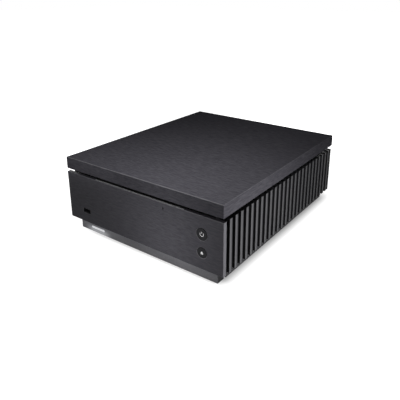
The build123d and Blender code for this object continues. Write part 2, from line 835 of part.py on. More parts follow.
with BuildPart() as drive_cover:
    block((-drive_side, drive_side), (drive_front, drive_rear), (tray_top, drive_top))
    lip_side = tray_inner - shaft_gap
    block((-lip_side, lip_side), (drive_front, drive_front + drive_sheet), (lid_bottom, tray_top))
save(drive_cover, "drive_cover")

# Felted lip that a disc slides over, with a sloping front edge
with BuildPart() as slot_felt:
    felt_front = panel_back + felt_gap
    felt_level = (mouth_bottom - felt_height, mouth_bottom)
    block((-slot_width / 2, slot_width / 2), (felt_front, drive_front), felt_level)
    top_edges = slot_felt.edges().filter_by(Axis.X).group_by(Axis.Z)[-1]
    chamfer(top_edges.sort_by(Axis.Y)[0], felt_rise)
save(slot_felt, "slot_felt")

with BuildPart() as drive_bridge:
    block((-wall_inside, wall_inside), (bridge_front, drive_rear), (bridge_bottom, drive_bottom))
    flange_level = (bridge_bottom - bridge_flange, bridge_bottom)
    block((-wall_inside, -wall_inside + bridge_sheet), (bridge_front, drive_rear), flange_level)
    block((wall_inside - bridge_sheet, wall_inside), (bridge_front, drive_rear), flange_level)
    screw_bores([(x, y, bridge_bottom) for x, y in drive_screw_spots], "up", bridge_sheet)
    screw_bores([(-wall_inside, y, bridge_screw_z) for y in bridge_screw_rows], "right", bridge_sheet)
    screw_bores([(wall_inside, y, bridge_screw_z) for y in bridge_screw_rows], "left", bridge_sheet)
save(drive_bridge, "drive_bridge")

with BuildPart() as drive_screws:
    pan_screws([(x, y, bridge_bottom) for x, y in drive_screw_spots], "up", bridge_sheet + drive_sheet)
    bridge_seat = wall_inside - bridge_sheet
    bridge_screw_length = bridge_sheet + screw_grip / 2
    pan_screws([(-bridge_seat, y, bridge_screw_z) for y in bridge_screw_rows], "left", bridge_screw_length)
    pan_screws([(bridge_seat, y, bridge_screw_z) for y in bridge_screw_rows], "right", bridge_screw_length)
save(drive_screws, "drive_screws")

with BuildPart() as loading_roller:
    round_bars([(-roller_length / 2, roller_y, roller_z)], "right", roller_radius, roller_length)
    shaft_end = drive_side - shaft_gap
    round_bars([(-shaft_end, roller_y, roller_z)], "right", roller_shaft_radius, 2 * shaft_end)
save(loading_roller, "loading_roller")

spindle_top = drive_floor + spindle_height
spindle_bore = spindle_height - drive_sheet
with BuildPart() as spindle_motor:
    round_bars([(0, spindle_y, drive_floor)], "up", spindle_radius, spindle_height)
    spindle_mouth = [(0, spindle_y, spindle_top)]
    round_bars(spindle_mouth, "down", roller_shaft_radius + shaft_gap, spindle_bore, Mode.SUBTRACT)
save(spindle_motor, "spindle_motor")

with BuildPart() as turntable:
    table_bottom = spindle_top + slide_gap
    table_top = table_bottom + turntable_thickness
    round_bars([(0, spindle_y, table_bottom)], "up", turntable_radius, turntable_thickness)
    round_bars([(0, spindle_y, table_top)], "up", hub_radius, hub_height)
    fillet(turntable.edges().filter_by(GeomType.CIRCLE).sort_by(Axis.Z)[-1], edge_break)
    round_bars([(0, spindle_y, table_bottom)], "down", roller_shaft_radius, spindle_bore)
save(turntable, "turntable")

with BuildPart() as sled_rods:
    rod_front = rod_block_rear - rod_block_depth
    rod_ends = [(x, rod_front, rod_z) for x in (-rod_offset, rod_offset)]
    round_bars(rod_ends, "back", rod_radius, rear_wall - rod_front)
save(sled_rods, "sled_rods")

with BuildPart() as pickup_sled:
    sled_bottom = drive_floor + sled_rise
    sled_span = (sled_y - sled_depth / 2, sled_y + sled_depth / 2)
    sled_left = -rod_offset - sled_overhang
    sled_right = screw_drive_x + sled_overhang
    block((sled_left, sled_right), sled_span, (sled_bottom, sled_bottom + sled_height))
    fillet(pickup_sled.edges().filter_by(Axis.Z), edge_break)
    sled_bores = [(x, sled_span[0], rod_z) for x in (-rod_offset, rod_offset, screw_drive_x)]
    round_bars(sled_bores, "back", rod_radius + shaft_gap, sled_depth, Mode.SUBTRACT)
    round_bars([(0, sled_y, sled_bottom + sled_height)], "up", lens_radius, lens_height)
save(pickup_sled, "pickup_sled")

leadscrew_rear = rear_wall - slide_gap
motor_bore = sled_motor_depth / 3
with BuildPart() as leadscrew:
    thread_front = motor_rear + slide_gap
    round_bars([(screw_drive_x, thread_front, rod_z)], "back", rod_radius, leadscrew_rear - thread_front)
    pivot_front = motor_rear - motor_bore + slide_gap
    pivot_rear = drive_rear - slide_gap
    round_bars([(screw_drive_x, pivot_front, rod_z)], "back", roller_shaft_radius, pivot_rear - pivot_front)
save(leadscrew, "leadscrew")

with BuildPart() as sled_motor:
    block(
        (screw_drive_x - sled_motor_width / 2, screw_drive_x + sled_motor_width / 2),
        (motor_rear - sled_motor_depth, motor_rear),
        (drive_floor, drive_floor + 2 * rod_level - slide_gap),
    )
    motor_mouth = [(screw_drive_x, motor_rear, rod_z)]
    round_bars(motor_mouth, "front", roller_shaft_radius + shaft_gap, motor_bore, Mode.SUBTRACT)
save(sled_motor, "sled_motor")

# Disk caddy, drawn out to the rear on its rails
plate_inner = rear_face + slide_gap
plate_outer = plate_inner + caddy_plate_thickness
caddy_start = plate_inner - caddy_depth
plate_bottom = caddy_level - caddy_plate_drop
disk_start = caddy_start + disk_front_gap
disk_spots = [
    (caddy_x + side * disk_hole_side / 2, disk_start + row) for side in (-1, 1) for row in disk_hole_rows
]
pivot_y = plate_outer + lug_depth / 2
pivot_z = plate_bottom + handle_level
lug_offset = handle_span / 2 + slide_gap + lug_width / 2

with BuildPart() as caddy_tray:
    block(
        (caddy_x - caddy_side, caddy_x + caddy_side),
        (caddy_start, plate_inner),
        (caddy_level, caddy_level + caddy_wall_height),
    )
    block(
        (caddy_x - caddy_side + caddy_sheet, caddy_x + caddy_side - caddy_sheet),
        (caddy_start, plate_inner),
        (caddy_floor, caddy_level + caddy_wall_height),
        Mode.SUBTRACT,
    )
    block(
        (caddy_x - caddy_plate_width / 2, caddy_x + caddy_plate_width / 2),
        (plate_inner, plate_outer),
        (plate_bottom, plate_bottom + caddy_plate_height),
    )
    round_bars([(x, y, caddy_floor) for x, y in disk_spots], "up", disk_boss_radius, disk_boss_height)
    screw_bores([(x, y, caddy_level) for x, y in disk_spots], "up", caddy_sheet + disk_boss_height)
    head_seats = [(x, y, caddy_level) for x, y in disk_spots]
    round_bars(head_seats, "up", screw_head_radius + screw_gap, screw_head_height, Mode.SUBTRACT)
    for side in (-1, 1):
        lug_x = caddy_x + side * lug_offset
        block(
            (lug_x - lug_width / 2, lug_x + lug_width / 2),
            (plate_outer, plate_outer + lug_depth),
            (pivot_z - lug_height / 2, pivot_z + lug_height / 2),
        )
    lug_bore = [(caddy_x - lug_offset - lug_width / 2, pivot_y, pivot_z)]
    round_bars(lug_bore, "right", handle_pin_radius + shaft_gap, 2 * lug_offset + lug_width, Mode.SUBTRACT)
save(caddy_tray, "caddy_tray")

# Folding pull: two arms and a bar, hanging flat against the plate at rest
with BuildPart() as caddy_handle:
    bar_span = (pivot_y - handle_bar / 2, pivot_y + handle_bar / 2)
    for side in (-1, 1):
        arm = sorted((caddy_x + side * handle_span / 2, caddy_x + side * (handle_span / 2 - handle_bar)))
        block(arm, bar_span, (pivot_z - handle_reach, pivot_z + handle_bar / 2))
    block(
        (caddy_x - handle_span / 2, caddy_x + handle_span / 2),
        bar_span,
        (pivot_z - handle_reach - handle_bar, pivot_z - handle_reach),
    )
    fillet(caddy_handle.edges().filter_by(Axis.Y).group_by(Axis.Z)[0], handle_bar / 2)
    pin_reach = lug_offset + lug_width / 2 - slide_gap
    for way, side in (("left", -1), ("right", 1)):
        pin_start = [(caddy_x + side * (handle_span / 2 - handle_bar), pivot_y, pivot_z)]
        round_bars(pin_start, way, handle_pin_radius, pin_reach - handle_span / 2 + handle_bar)
save(caddy_handle, "caddy_handle")

with BuildPart() as hard_disk:
    disk_side = disk_width / 2
    disk_span = (disk_start, disk_start + disk_depth)
    block((caddy_x - disk_side, caddy_x + disk_side), disk_span, (disk_bottom, disk_bottom + disk_height))
    fillet(hard_disk.edges().filter_by(Axis.Z), edge_break)
    screw_bores([(x, y, disk_bottom) for x, y in disk_spots], "up", screw_grip)
save(hard_disk, "hard_disk")

with BuildPart() as hard_disk_cover:
    with BuildSketch(Plane.XY.offset(disk_top - disk_cover)):
        with Locations((caddy_x, disk_start + disk_depth / 2)):
            RectangleRounded(disk_width - 2 * edge_break, disk_depth - 2 * edge_break, 3 * edge_break)
    extrude(amount=disk_cover)
save(hard_disk_cover, "hard_disk_cover")

with BuildPart() as caddy_screws:
    screw_seats = [(x, y, caddy_level + screw_head_height) for x, y in disk_spots]
    pan_screws(screw_seats, "up", caddy_sheet + disk_boss_height - screw_head_height + screw_grip / 2)
save(caddy_screws, "caddy_screws")

rail_start = caddy_start - screw_grip
rail_inner = caddy_side + slide_gap
rail_bottom = caddy_level - slide_gap - rail_sheet
with BuildPart() as bay_rails:
    for side in (-1, 1):
        upright = sorted((caddy_x + side * rail_inner, caddy_x + side * (rail_inner + rail_thickness)))
        block(upright, (rail_start, rear_inner), (rail_bottom, caddy_level + caddy_wall_height))
        ledge = sorted((caddy_x + side * (rail_inner - rail_ledge), caddy_x + side * rail_inner))
        block(ledge, (rail_start, rear_inner), (rail_bottom, rail_bottom + rail_sheet))
save(bay_rails, "bay_rails")

with BuildPart() as bay_connector:
    connector_side = rail_inner + rail_thickness
    block(
        (caddy_x - connector_side, caddy_x + connector_side),
        (rail_start - board_thickness, rail_start),
        (rail_bottom, caddy_level + caddy_wall_height),
    )
    nose_side = disk_side / 2
    nose_level = (disk_bottom + edge_break, disk_bottom + disk_height / 2)
    block((caddy_x - nose_side, caddy_x + nose_side), (rail_start, disk_start - slide_gap), nose_level)
save(bay_connector, "bay_connector")

# Main board, its chips and the block that takes heat to the right-hand fins
with BuildPart() as main_board:
    block((main_left, main_right), (main_front, main_rear), (board_level, board_top))
    screw_bores([(x, y, board_top) for x, y in main_studs], "down", board_thickness)
save(main_board, "main_board")

processor_half = processor_size / 2
processor_top = board_top + processor_height
with BuildPart() as board_chips:
    block(
        (processor_x - processor_half, processor_x + processor_half),
        (processor_y - processor_half, processor_y + processor_half),
        (board_top, processor_top),
    )
    # Memory module in its socket and three smaller chips
    block(
        (main_left + memory_inset, processor_x),
        (memory_y, memory_y + memory_depth),
        (board_top, board_top + memory_height),
    )
    with BuildSketch(Plane.XY.offset(board_top)):
        with Locations((main_left + chip_inset, processor_y)):
            with GridLocations(chip_pitch, chip_pitch, 1, 3):
                Rectangle(chip_width, chip_depth)
    extrude(amount=chip_height)
save(board_chips, "board_chips")

with BuildPart() as heat_spreader:
    spreader_span = (processor_y - spreader_depth / 2, processor_y + spreader_depth / 2)
    spreader_left = processor_x - processor_half
    spreader_wall = wall_inside - spreader_thickness
    block((spreader_left, wall_inside), spreader_span, (processor_top, processor_top + spreader_thickness))
    block((spreader_wall, wall_inside), spreader_span, (processor_top, processor_top + spreader_height))
save(heat_spreader, "heat_spreader")

# Power supply: ring transformer, board and reservoir capacitors
with BuildPart() as power_board:
    block((power_left, power_right), (power_front, power_rear), (board_level, board_top))
    screw_bores([(x, y, board_top) for x, y in power_studs], "down", board_thickness)
save(power_board, "power_board")

with BuildPart() as transformer:
    with BuildSketch(Plane.XZ.offset(-core_y)):
        with Locations((core_x + (core_bore + core_radius) / 2, stand_height + core_height / 2)):
            RectangleRounded(core_radius - core_bore, core_height, core_edge)
    revolve(axis=Axis((core_x, core_y, 0), (0, 0, 1)))
save(transformer, "transformer")

with BuildPart() as transformer_clamp:
    clamp_bottom = stand_height + core_height
    round_bars([(core_x, core_y, clamp_bottom)], "up", clamp_radius, clamp_thickness)
    with BuildSketch(Plane.XY.offset(clamp_bottom + clamp_thickness)):
        with Locations((core_x, core_y)):
            RegularPolygon(clamp_nut / 2, 6, major_radius=False)
    extrude(amount=clamp_nut_height)
    clamp_seat = [(core_x, core_y, clamp_bottom)]
    clamp_bore = clamp_thickness + clamp_nut_height
    round_bars(clamp_seat, "up", clamp_stud_radius + screw_gap, clamp_bore, Mode.SUBTRACT)
save(transformer_clamp, "transformer_clamp")

capacitor_y = (power_front + power_rear) / 2 - capacitor_offset
with BuildPart() as power_capacitors:
    with BuildSketch(Plane.XY.offset(board_top)):
        with Locations(((power_left + power_right) / 2, capacitor_y)):
            with GridLocations(capacitor_pitch_x, capacitor_pitch_y, 2, 2):
                Circle(capacitor_radius)
    extrude(amount=capacitor_height)
    fillet(power_capacitors.edges().group_by(Axis.Z)[-1], edge_break)
save(power_capacitors, "power_capacitors")

# Mains inlet
inlet_face = rear_face + inlet_flange
inlet_rear = rear_face - inlet_depth
inlet_bed = inlet_rear + inlet_floor
blade_spots = [
    (inlet_x - blade_spread / 2, inlet_z - blade_drop),
    (inlet_x, inlet_z + blade_drop),
    (inlet_x + blade_spread / 2, inlet_z - blade_drop),
]

with BuildPart() as inlet_body:
    with BuildSketch(Plane.XZ.offset(-inlet_face)):
        with Locations((inlet_x, inlet_z)):
            RectangleRounded(inlet_flange_width, inlet_flange_height, inlet_corner)
    extrude(amount=inlet_flange)
    with BuildSketch(Plane.XZ.offset(-rear_face)):
        with Locations((inlet_x, inlet_z)):
            Rectangle(inlet_width, inlet_height)
    extrude(amount=inlet_depth)
    with BuildSketch(Plane.XZ.offset(-inlet_face)):
        with Locations((inlet_x, inlet_z)):
            RectangleRounded(inlet_mouth_width, inlet_mouth_height, inlet_corner)
    extrude(amount=inlet_face - inlet_bed, mode=Mode.SUBTRACT)
    screw_bores([(x, inlet_face, z) for x, z in inlet_screw_spots], "front", inlet_flange)
    for x, z in blade_spots:
        block(
            (x - blade_width / 2 - shaft_gap, x + blade_width / 2 + shaft_gap),
            (inlet_rear, inlet_bed),
            (z - blade_height / 2 - shaft_gap, z + blade_height / 2 + shaft_gap),
            Mode.SUBTRACT,
        )
save(inlet_body, "inlet_body")

blade_end = inlet_rear - blade_tail
with BuildPart() as inlet_pins:
    for x, z in blade_spots:
        block(
            (x - blade_width / 2, x + blade_width / 2),
            (blade_end, inlet_face - blade_recess),
            (z - blade_height / 2, z + blade_height / 2),
        )
save(inlet_pins, "inlet_pins")

# Power switch
switch_face = rear_face + rocker_flange_depth
switch_rear = rear_face - rocker_body_depth
rocker_y = switch_face - rocker_pivot_depth
rocker_pin_half = rocker_mouth_width / 2 + rocker_pin_reach

with BuildPart() as switch_body:
    flange_half_width = rocker_body_width / 2 + rocker_flange
    flange_half_height = rocker_body_height / 2 + rocker_flange
    block(
        (inlet_x - flange_half_width, inlet_x + flange_half_width),
        (rear_face, switch_face),
        (switch_z - flange_half_height, switch_z + flange_half_height),
    )
    fillet(switch_body.edges().filter_by(Axis.Y), edge_break)
    block(
        (inlet_x - rocker_body_width / 2, inlet_x + rocker_body_width / 2),
        (switch_rear, rear_face),
        (switch_z - rocker_body_height / 2, switch_z + rocker_body_height / 2),
    )
    block(
        (inlet_x - rocker_mouth_width / 2, inlet_x + rocker_mouth_width / 2),
        (switch_face - rocker_mouth_depth, switch_face),
        (switch_z - rocker_mouth_height / 2, switch_z + rocker_mouth_height / 2),
        Mode.SUBTRACT,
    )
    pin_seat = [(inlet_x - rocker_pin_half - shaft_gap, rocker_y, switch_z)]
    pin_room = 2 * (rocker_pin_half + shaft_gap)
    round_bars(pin_seat, "right", rocker_pin_radius + shaft_gap, pin_room, Mode.SUBTRACT)
save(switch_body, "switch_body")

# Rocker at rest in its off position, its lower half pressed in
rocker_plane = Plane((inlet_x, rocker_y, switch_z), x_dir=(0, 1, 0), z_dir=(1, 0, 0))
rocker_plane = rocker_plane.rotated((-rocker_tilt, 0, 0))
with BuildPart() as power_rocker:
    with BuildSketch(rocker_plane.offset(-rocker_width / 2)):
        with BuildLine():
            Polyline(
                (rocker_crown, -rocker_half),
                (rocker_waist, 0),
                (rocker_crown, rocker_half),
                (-rocker_side, rocker_half),
                (-rocker_keel, 0),
                (-rocker_side, -rocker_half),
                close=True,
            )
        make_face()
    extrude(amount=rocker_width)
    rocker_pin_end = [(inlet_x - rocker_pin_half, rocker_y, switch_z)]
    round_bars(rocker_pin_end, "right", rocker_pin_radius, 2 * rocker_pin_half)
save(power_rocker, "power_rocker")

# Sockets along the rear edge of the main board
socket_face = rear_face + socket_proud
with BuildPart() as network_socket:
    block(
        (network_x - network_width / 2, network_x + network_width / 2),
        (socket_face - network_depth, socket_face),
        (board_top, board_top + network_height),
    )
    mouth_base = board_top + network_mouth_rise
    block(
        (network_x - network_mouth_width / 2, network_x + network_mouth_width / 2),
        (socket_face - network_mouth_depth, socket_face),
        (mouth_base, mouth_base + network_mouth_height),
        Mode.SUBTRACT,
    )
save(network_socket, "network_socket")

usb_socket(rear_usb_x, rear_usb_z, socket_face, -1, "rear_usb_shell", "rear_usb_tongue")

digital_end = rear_face + digital_length
with BuildPart() as digital_socket:
    block(
        (digital_x - digital_block / 2, digital_x + digital_block / 2),
        (rear_inner - digital_block, rear_inner),
        (board_top, board_top + digital_block_height),
    )
    round_bars([(digital_x, rear_inner, digital_z)], "back", digital_radius, digital_end - rear_inner)
    with BuildSketch(Plane.XZ.offset(-rear_face)):
        with Locations((digital_x, digital_z)):
            RegularPolygon(digital_nut / 2, 6, major_radius=False)
    extrude(amount=-digital_nut_depth)
    digital_mouth = [(digital_x, digital_end, digital_z)]
    round_bars(digital_mouth, "front", digital_bore, digital_length, Mode.SUBTRACT)
save(digital_socket, "digital_socket")


def lead(points, radius, bend):
    """A round lead through the points, with one bend radius."""
    with BuildPart() as piece:
        with BuildLine() as route:
            FilletPolyline(*points, radius=bend)
        with BuildSketch(Plane(origin=route.line @ 0, z_dir=route.line % 0)):
            Circle(radius)
        sweep(path=route.line)
    return piece.part


# Mains leads: inlet to switch, and switch to the power board
lead_loop_y = power_rear - 2 * stud_inset
inlet_leads = [
    lead(
        [
            (x, blade_end, inlet_z - blade_drop),
            (x, lead_loop_y, inlet_z - blade_drop),
            (x, lead_loop_y, switch_z + blade_drop),
            (x, switch_rear, switch_z + blade_drop),
        ],
        mains_lead_radius,
        mains_lead_bend,
    )
    for x in (inlet_x - blade_spread / 2, inlet_x + blade_spread / 2)
]
board_lead_y = power_rear - mains_lead_bend
board_leads = [
    lead(
        [
            (x, switch_rear, switch_z - blade_drop),
            (x, board_lead_y, switch_z - blade_drop),
            (x, board_lead_y, board_top),
        ],
        mains_lead_radius,
        mains_lead_bend,
    )
    for x in (inlet_x - blade_height, inlet_x + blade_height)
]
with BuildPart() as mains_leads:
    add(inlet_leads + board_leads)
save(mains_leads, "mains_leads")

# Low-voltage leads: supply, drive, buttons and front socket, all ending on the main board
arch_top = board_top + 2 * signal_lead_bend + 2 * signal_lead_radius
supply_y = capacitor_y - capacitor_pitch_y / 4
drive_lead_y = drive_rear + signal_lead_bend + signal_lead_radius
drive_lead_x = (caddy_x + rail_inner + rail_thickness + wall_inside) / 2 + drive_lead_offset
drive_lead_z = tray_top - 2 * signal_lead_radius
panel_lead_x = wall_inside - panel_lead_inset
panel_lead_y = main_front + 2 * signal_lead_bend
usb_lead_x = usb_board_left + usb_board_width - signal_lead_radius
usb_lead_y = usb_studs[0][1] - signal_lead_bend - signal_lead_radius
usb_arch = usb_board_top + 2 * signal_lead_bend + signal_lead_radius
low_voltage_routes = [
    [
        (power_right - stud_inset, supply_y, board_top),
        (power_right - stud_inset, supply_y, arch_top),
        (main_left + stud_inset, supply_y, arch_top),
        (main_left + stud_inset, supply_y, board_top),
    ],
    [
        (drive_screw_x, drive_rear, drive_lead_z),
        (drive_screw_x, drive_lead_y, drive_lead_z),
        (drive_lead_x, drive_lead_y, drive_lead_z),
        (drive_lead_x, drive_lead_y, board_top),
    ],
    [
        (panel_lead_x, button_board_front + board_thickness, (standby_z + eject_z) / 2),
        (panel_lead_x, panel_lead_y, (standby_z + eject_z) / 2),
        (panel_lead_x, panel_lead_y, board_top),
    ],
    [
        (usb_lead_x, usb_lead_y, usb_board_top),
        (usb_lead_x, usb_lead_y, usb_arch),
        (main_left + 2 * stud_inset, usb_lead_y, usb_arch),
        (main_left + 2 * stud_inset, panel_lead_y, usb_arch),
        (main_left + 2 * stud_inset, panel_lead_y, board_top),
    ],
]
low_voltage = [lead(route, signal_lead_radius, signal_lead_bend) for route in low_voltage_routes]
with BuildPart() as signal_leads:
    add(low_voltage)
save(signal_leads, "signal_leads")
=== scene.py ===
import bmesh
import bpy
import json
import math
import numpy as np
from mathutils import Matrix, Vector


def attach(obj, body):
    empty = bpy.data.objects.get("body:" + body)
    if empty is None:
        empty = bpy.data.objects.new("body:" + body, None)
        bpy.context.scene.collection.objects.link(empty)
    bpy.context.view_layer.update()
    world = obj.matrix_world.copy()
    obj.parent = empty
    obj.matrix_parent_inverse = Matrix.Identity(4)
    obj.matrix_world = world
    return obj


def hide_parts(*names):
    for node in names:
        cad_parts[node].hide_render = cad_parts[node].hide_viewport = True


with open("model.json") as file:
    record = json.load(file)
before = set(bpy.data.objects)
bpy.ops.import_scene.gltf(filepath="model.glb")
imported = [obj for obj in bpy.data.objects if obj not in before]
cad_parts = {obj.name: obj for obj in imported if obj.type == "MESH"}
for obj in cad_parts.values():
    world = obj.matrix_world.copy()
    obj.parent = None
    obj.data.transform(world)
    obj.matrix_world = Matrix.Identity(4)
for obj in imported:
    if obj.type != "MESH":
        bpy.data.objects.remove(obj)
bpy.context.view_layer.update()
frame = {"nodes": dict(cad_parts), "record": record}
nodes = frame["nodes"]
mm = 0.001
black, white = (0.0, 0.0, 0.0), (1.0, 1.0, 1.0)
print("frame loaded:", len(nodes), "nodes")


class Wire:  # an output socket that takes part in Python sums
    def __init__(self, owner, socket):
        self.owner = owner
        self.socket = socket

    def sum(self, operation, *terms):
        return self.owner.node("ShaderNodeMath", {"operation": operation}, dict(enumerate(terms)))

    def __add__(self, other):
        return self.sum("ADD", self, other)

    def __radd__(self, other):
        return self.sum("ADD", other, self)

    def __sub__(self, other):
        return self.sum("SUBTRACT", self, other)

    def __rsub__(self, other):
        return self.sum("SUBTRACT", other, self)

    def __mul__(self, other):
        return self.sum("MULTIPLY", self, other)

    def __rmul__(self, other):
        return self.sum("MULTIPLY", other, self)

    def __pow__(self, other):
        return self.sum("POWER", self, other)

    def __rpow__(self, other):
        return self.sum("POWER", other, self)

    def __abs__(self):
        return self.sum("ABSOLUTE", self)

    def above(self, level):
        return self.sum("GREATER_THAN", self, level)

    def below(self, level):
        return self.sum("LESS_THAN", self, level)

    def most(self, other):
        return self.sum("MAXIMUM", self, other)

    def sine(self):
        return self.sum("SINE", self)

    def soften(self, low, high):  # smooth step from 0 at low to 1 at high
        return self.owner.node("ShaderNodeMapRange", {"interpolation_type": "SMOOTHSTEP"},
                               {"Value": self, "From Min": low, "From Max": high})

    def blend(self, other, share):  # a share of this wire and the rest of the other
        return self * share + other * (1 - share)

    def around(self, middle, span):  # a pattern from 0 to 1 laid about a middle value
        return middle + (self - 0.5) * span


class Tree:  # a node tree, filled node by node
    def __init__(self, tree):
        self.tree = tree

    def node(self, kind, settings=None, inputs=None, out=0):
        made = self.tree.nodes.new(kind)
        for key, value in (settings or {}).items():
            setattr(made, key, value)
        for key, value in (inputs or {}).items():
            self.feed(made.inputs[key], value)
        return Wire(self, made.outputs[out])

    def feed(self, socket, value):
        if isinstance(value, Wire):
            self.tree.links.new(value.socket, socket)
        elif isinstance(value, tuple) and len(value) == 3 and socket.type == "RGBA":
            socket.default_value = (*value, 1.0)
        else:
            socket.default_value = value

    def mix(self, share, first, second):  # inputs 6 and 7 and output 2 are the node's colour sockets
        return self.node("ShaderNodeMix", {"data_type": "RGBA"}, {0: share, 6: first, 7: second}, 2)

    def backdropRay(self):  # 1 for rays that should see the white surroundings
        kinds = [self.node("ShaderNodeLightPath", out=name)
                 for name in ("Is Camera Ray", "Is Glossy Ray", "Is Transmission Ray")]
        return kinds[0].most(kinds[1]).most(kinds[2])


class Finish(Tree):  # a material and the shader that it feeds
    sockets = {"colour": "Base Color", "rough": "Roughness", "metal": "Metallic", "gloss": "Specular IOR Level",
               "coat": "Coat Weight", "coatRough": "Coat Roughness", "glow": "Emission Color",
               "glowPower": "Emission Strength", "normal": "Normal", "sheen": "Sheen Weight",
               "sheenRough": "Sheen Roughness"}

    def __init__(self, name, **fixed):
        self.material = bpy.data.materials.new(name)
        self.material.use_nodes = True
        super().__init__(self.material.node_tree)
        self.shader = self.tree.nodes["Principled BSDF"]
        self.set(**fixed)

    def set(self, **values):
        for key, value in values.items():
            self.feed(self.shader.inputs[self.sockets[key]], value)

    def coords(self, scale):
        here = self.node("ShaderNodeTexCoord", out="Object")
        return self.node("ShaderNodeMapping", None, {"Vector": here, "Scale": scale})

    def axis(self, which):
        here = self.node("ShaderNodeTexCoord", out="Object")
        return self.node("ShaderNodeSeparateXYZ", None, {0: here}, which)

    def facing(self, which):  # how far the surface faces along one axis
        normal = self.node("ShaderNodeNewGeometry", out="Normal")
        return self.node("ShaderNodeSeparateXYZ", None, {0: normal}, which)

    def ends(self, which):  # 1 on faces that look along one axis, either way
        return abs(self.facing(which)).soften(0.5, 0.9)

    def arris(self, which):  # 1 on the small bevels round faces that look along one axis
        slope = abs(self.facing(which))
        return slope.above(0.3) * slope.below(0.95)

    def noise(self, scale, detail=2.0, rough=0.5):
        return self.node("ShaderNodeTexNoise", None, {"Vector": self.coords(scale), "Scale": 1.0,
                                                      "Detail": detail, "Roughness": rough}, "Fac")

    def grain(self, count, detail=2.0):  # noise alike every way, so many spots to the metre
        return self.noise((count,) * 3, detail)

    def cells(self, count):  # distance to the nearest of scattered points, so many to the metre
        return self.node("ShaderNodeTexVoronoi", None, {"Vector": self.coords((count,) * 3), "Scale": 1.0},
                         "Distance")

    def streaks(self, way, length, width):  # brush marks that run along one axis, sizes in mm
        scale = [1.0 / (width * mm)] * 3
        scale[way] = 1.0 / (length * mm)
        return self.noise(tuple(scale), 3.0, 0.6)

    def relief(self, height, strength, depth):  # depth in mm
        return self.node("ShaderNodeBump", None, {"Height": height, "Strength": strength, "Distance": depth * mm})


# Camera, lamps and floor

cameraPlan = {
    "azimuth": 35.703,  # degrees right of the front
    "elevation": 18.491,
    "distance": 643.83 * mm,
    "target": (-0.85 * mm, 0.0, 102.48 * mm),
    "lens": 41.97,
    "sensor": 36.0,
    "shift": (-0.02, -0.14),
    "clip": (0.01, 50.0),
}
lampPlan = {  # soft boxes close to the object, so that light falls off across it
    "topBox": {"at": (0.062, -0.145, 0.29), "to": (0.05, -0.10, 0.10), "size": (0.14, 0.14),
               "power": 0.655, "spread": 180},
    "rightBox": {"at": (0.30, -0.11, 0.065), "to": (0.12, -0.09, 0.065), "size": (0.10, 0.08),
                 "power": 0.59, "spread": 180},
    "frontBox": {"at": (0.043, -0.27, 0.115), "to": (0.043, -0.144, 0.055), "size": (0.05, 0.08),
                 "power": 0.058, "spread": 150},
    "lowBox": {"at": (0.048, -0.25, 0.03), "to": (0.045, -0.144, 0.03), "size": (0.05, 0.03),
               "power": 0.020, "spread": 100},
    "lidBox": {"at": (-0.085, -0.17, 0.097), "to": (-0.085, -0.144, 0.095), "size": (0.11, 0.006),
               "power": 0.0058, "spread": 140},
    "topFill": {"at": (-0.11, -0.16, 0.24), "to": (-0.10, -0.12, 0.101), "size": (0.08, 0.08),
                "power": 0.022, "spread": 120},
    "leftBox": {"at": (-0.50, 0.0, 0.09), "to": (-0.12, 0.0, 0.05), "size": (0.30, 0.12),
                "power": 1.4, "spread": 180},
    "rearBox": {"at": (0.05, 0.62, 0.09), "to": (0.0, 0.12, 0.05), "size": (0.40, 0.12),
                "power": 3.0, "spread": 180},
}
stagePlan = {
    "ambient": 0.10,
    "floorTone": 0.5,
    "floorSize": 12.0,
    "paintedShadowGlow": 0.0,
    "farGlow": 1.0,
    "half": (0.1225, 0.144),
    # each side's axis, way and the band past the object's edge over which the floor's glow rises to white; inside it
    # the floor is painted darker, a painted contact shadow
    "sides": ((0, 1.0, (-0.018, 0.008)), (0, -1.0, (-0.045, -0.012)), (1, -1.0, (-0.021, 0.0045)),
              (1, 1.0, (-0.015, 0.028))),
}


def aimed(thing, at, to):
    thing.location = at
    thing.rotation_euler = (Vector(to) - Vector(at)).to_track_quat("-Z", "Y").to_euler()
    bpy.context.scene.collection.objects.link(thing)


def makeCamera(plan):
    turn, rise = math.radians(plan["azimuth"]), math.radians(plan["elevation"])
    backward = Vector((math.sin(turn) * math.cos(rise), -math.cos(turn) * math.cos(rise), math.sin(rise)))
    lens = bpy.data.cameras.new("photoCamera")
    lens.lens = plan["lens"]
    lens.sensor_width = plan["sensor"]
    lens.shift_x, lens.shift_y = plan["shift"]
    lens.clip_start, lens.clip_end = plan["clip"]
    camera = bpy.data.objects.new("photoCamera", lens)
    target = Vector(plan["target"])
    aimed(camera, target + backward * plan["distance"], target)
    bpy.context.scene.camera = camera


def makeLamps(plan):
    for name, entry in plan.items():
        light = bpy.data.lights.new(name, "AREA")
        light.shape = "RECTANGLE"
        light.size, light.size_y = entry["size"]
        light.energy = entry["power"]
        light.spread = math.radians(entry["spread"])
        lamp = bpy.data.objects.new(name, light)
        lamp.visible_camera = False
        aimed(lamp, entry["at"], entry["to"])


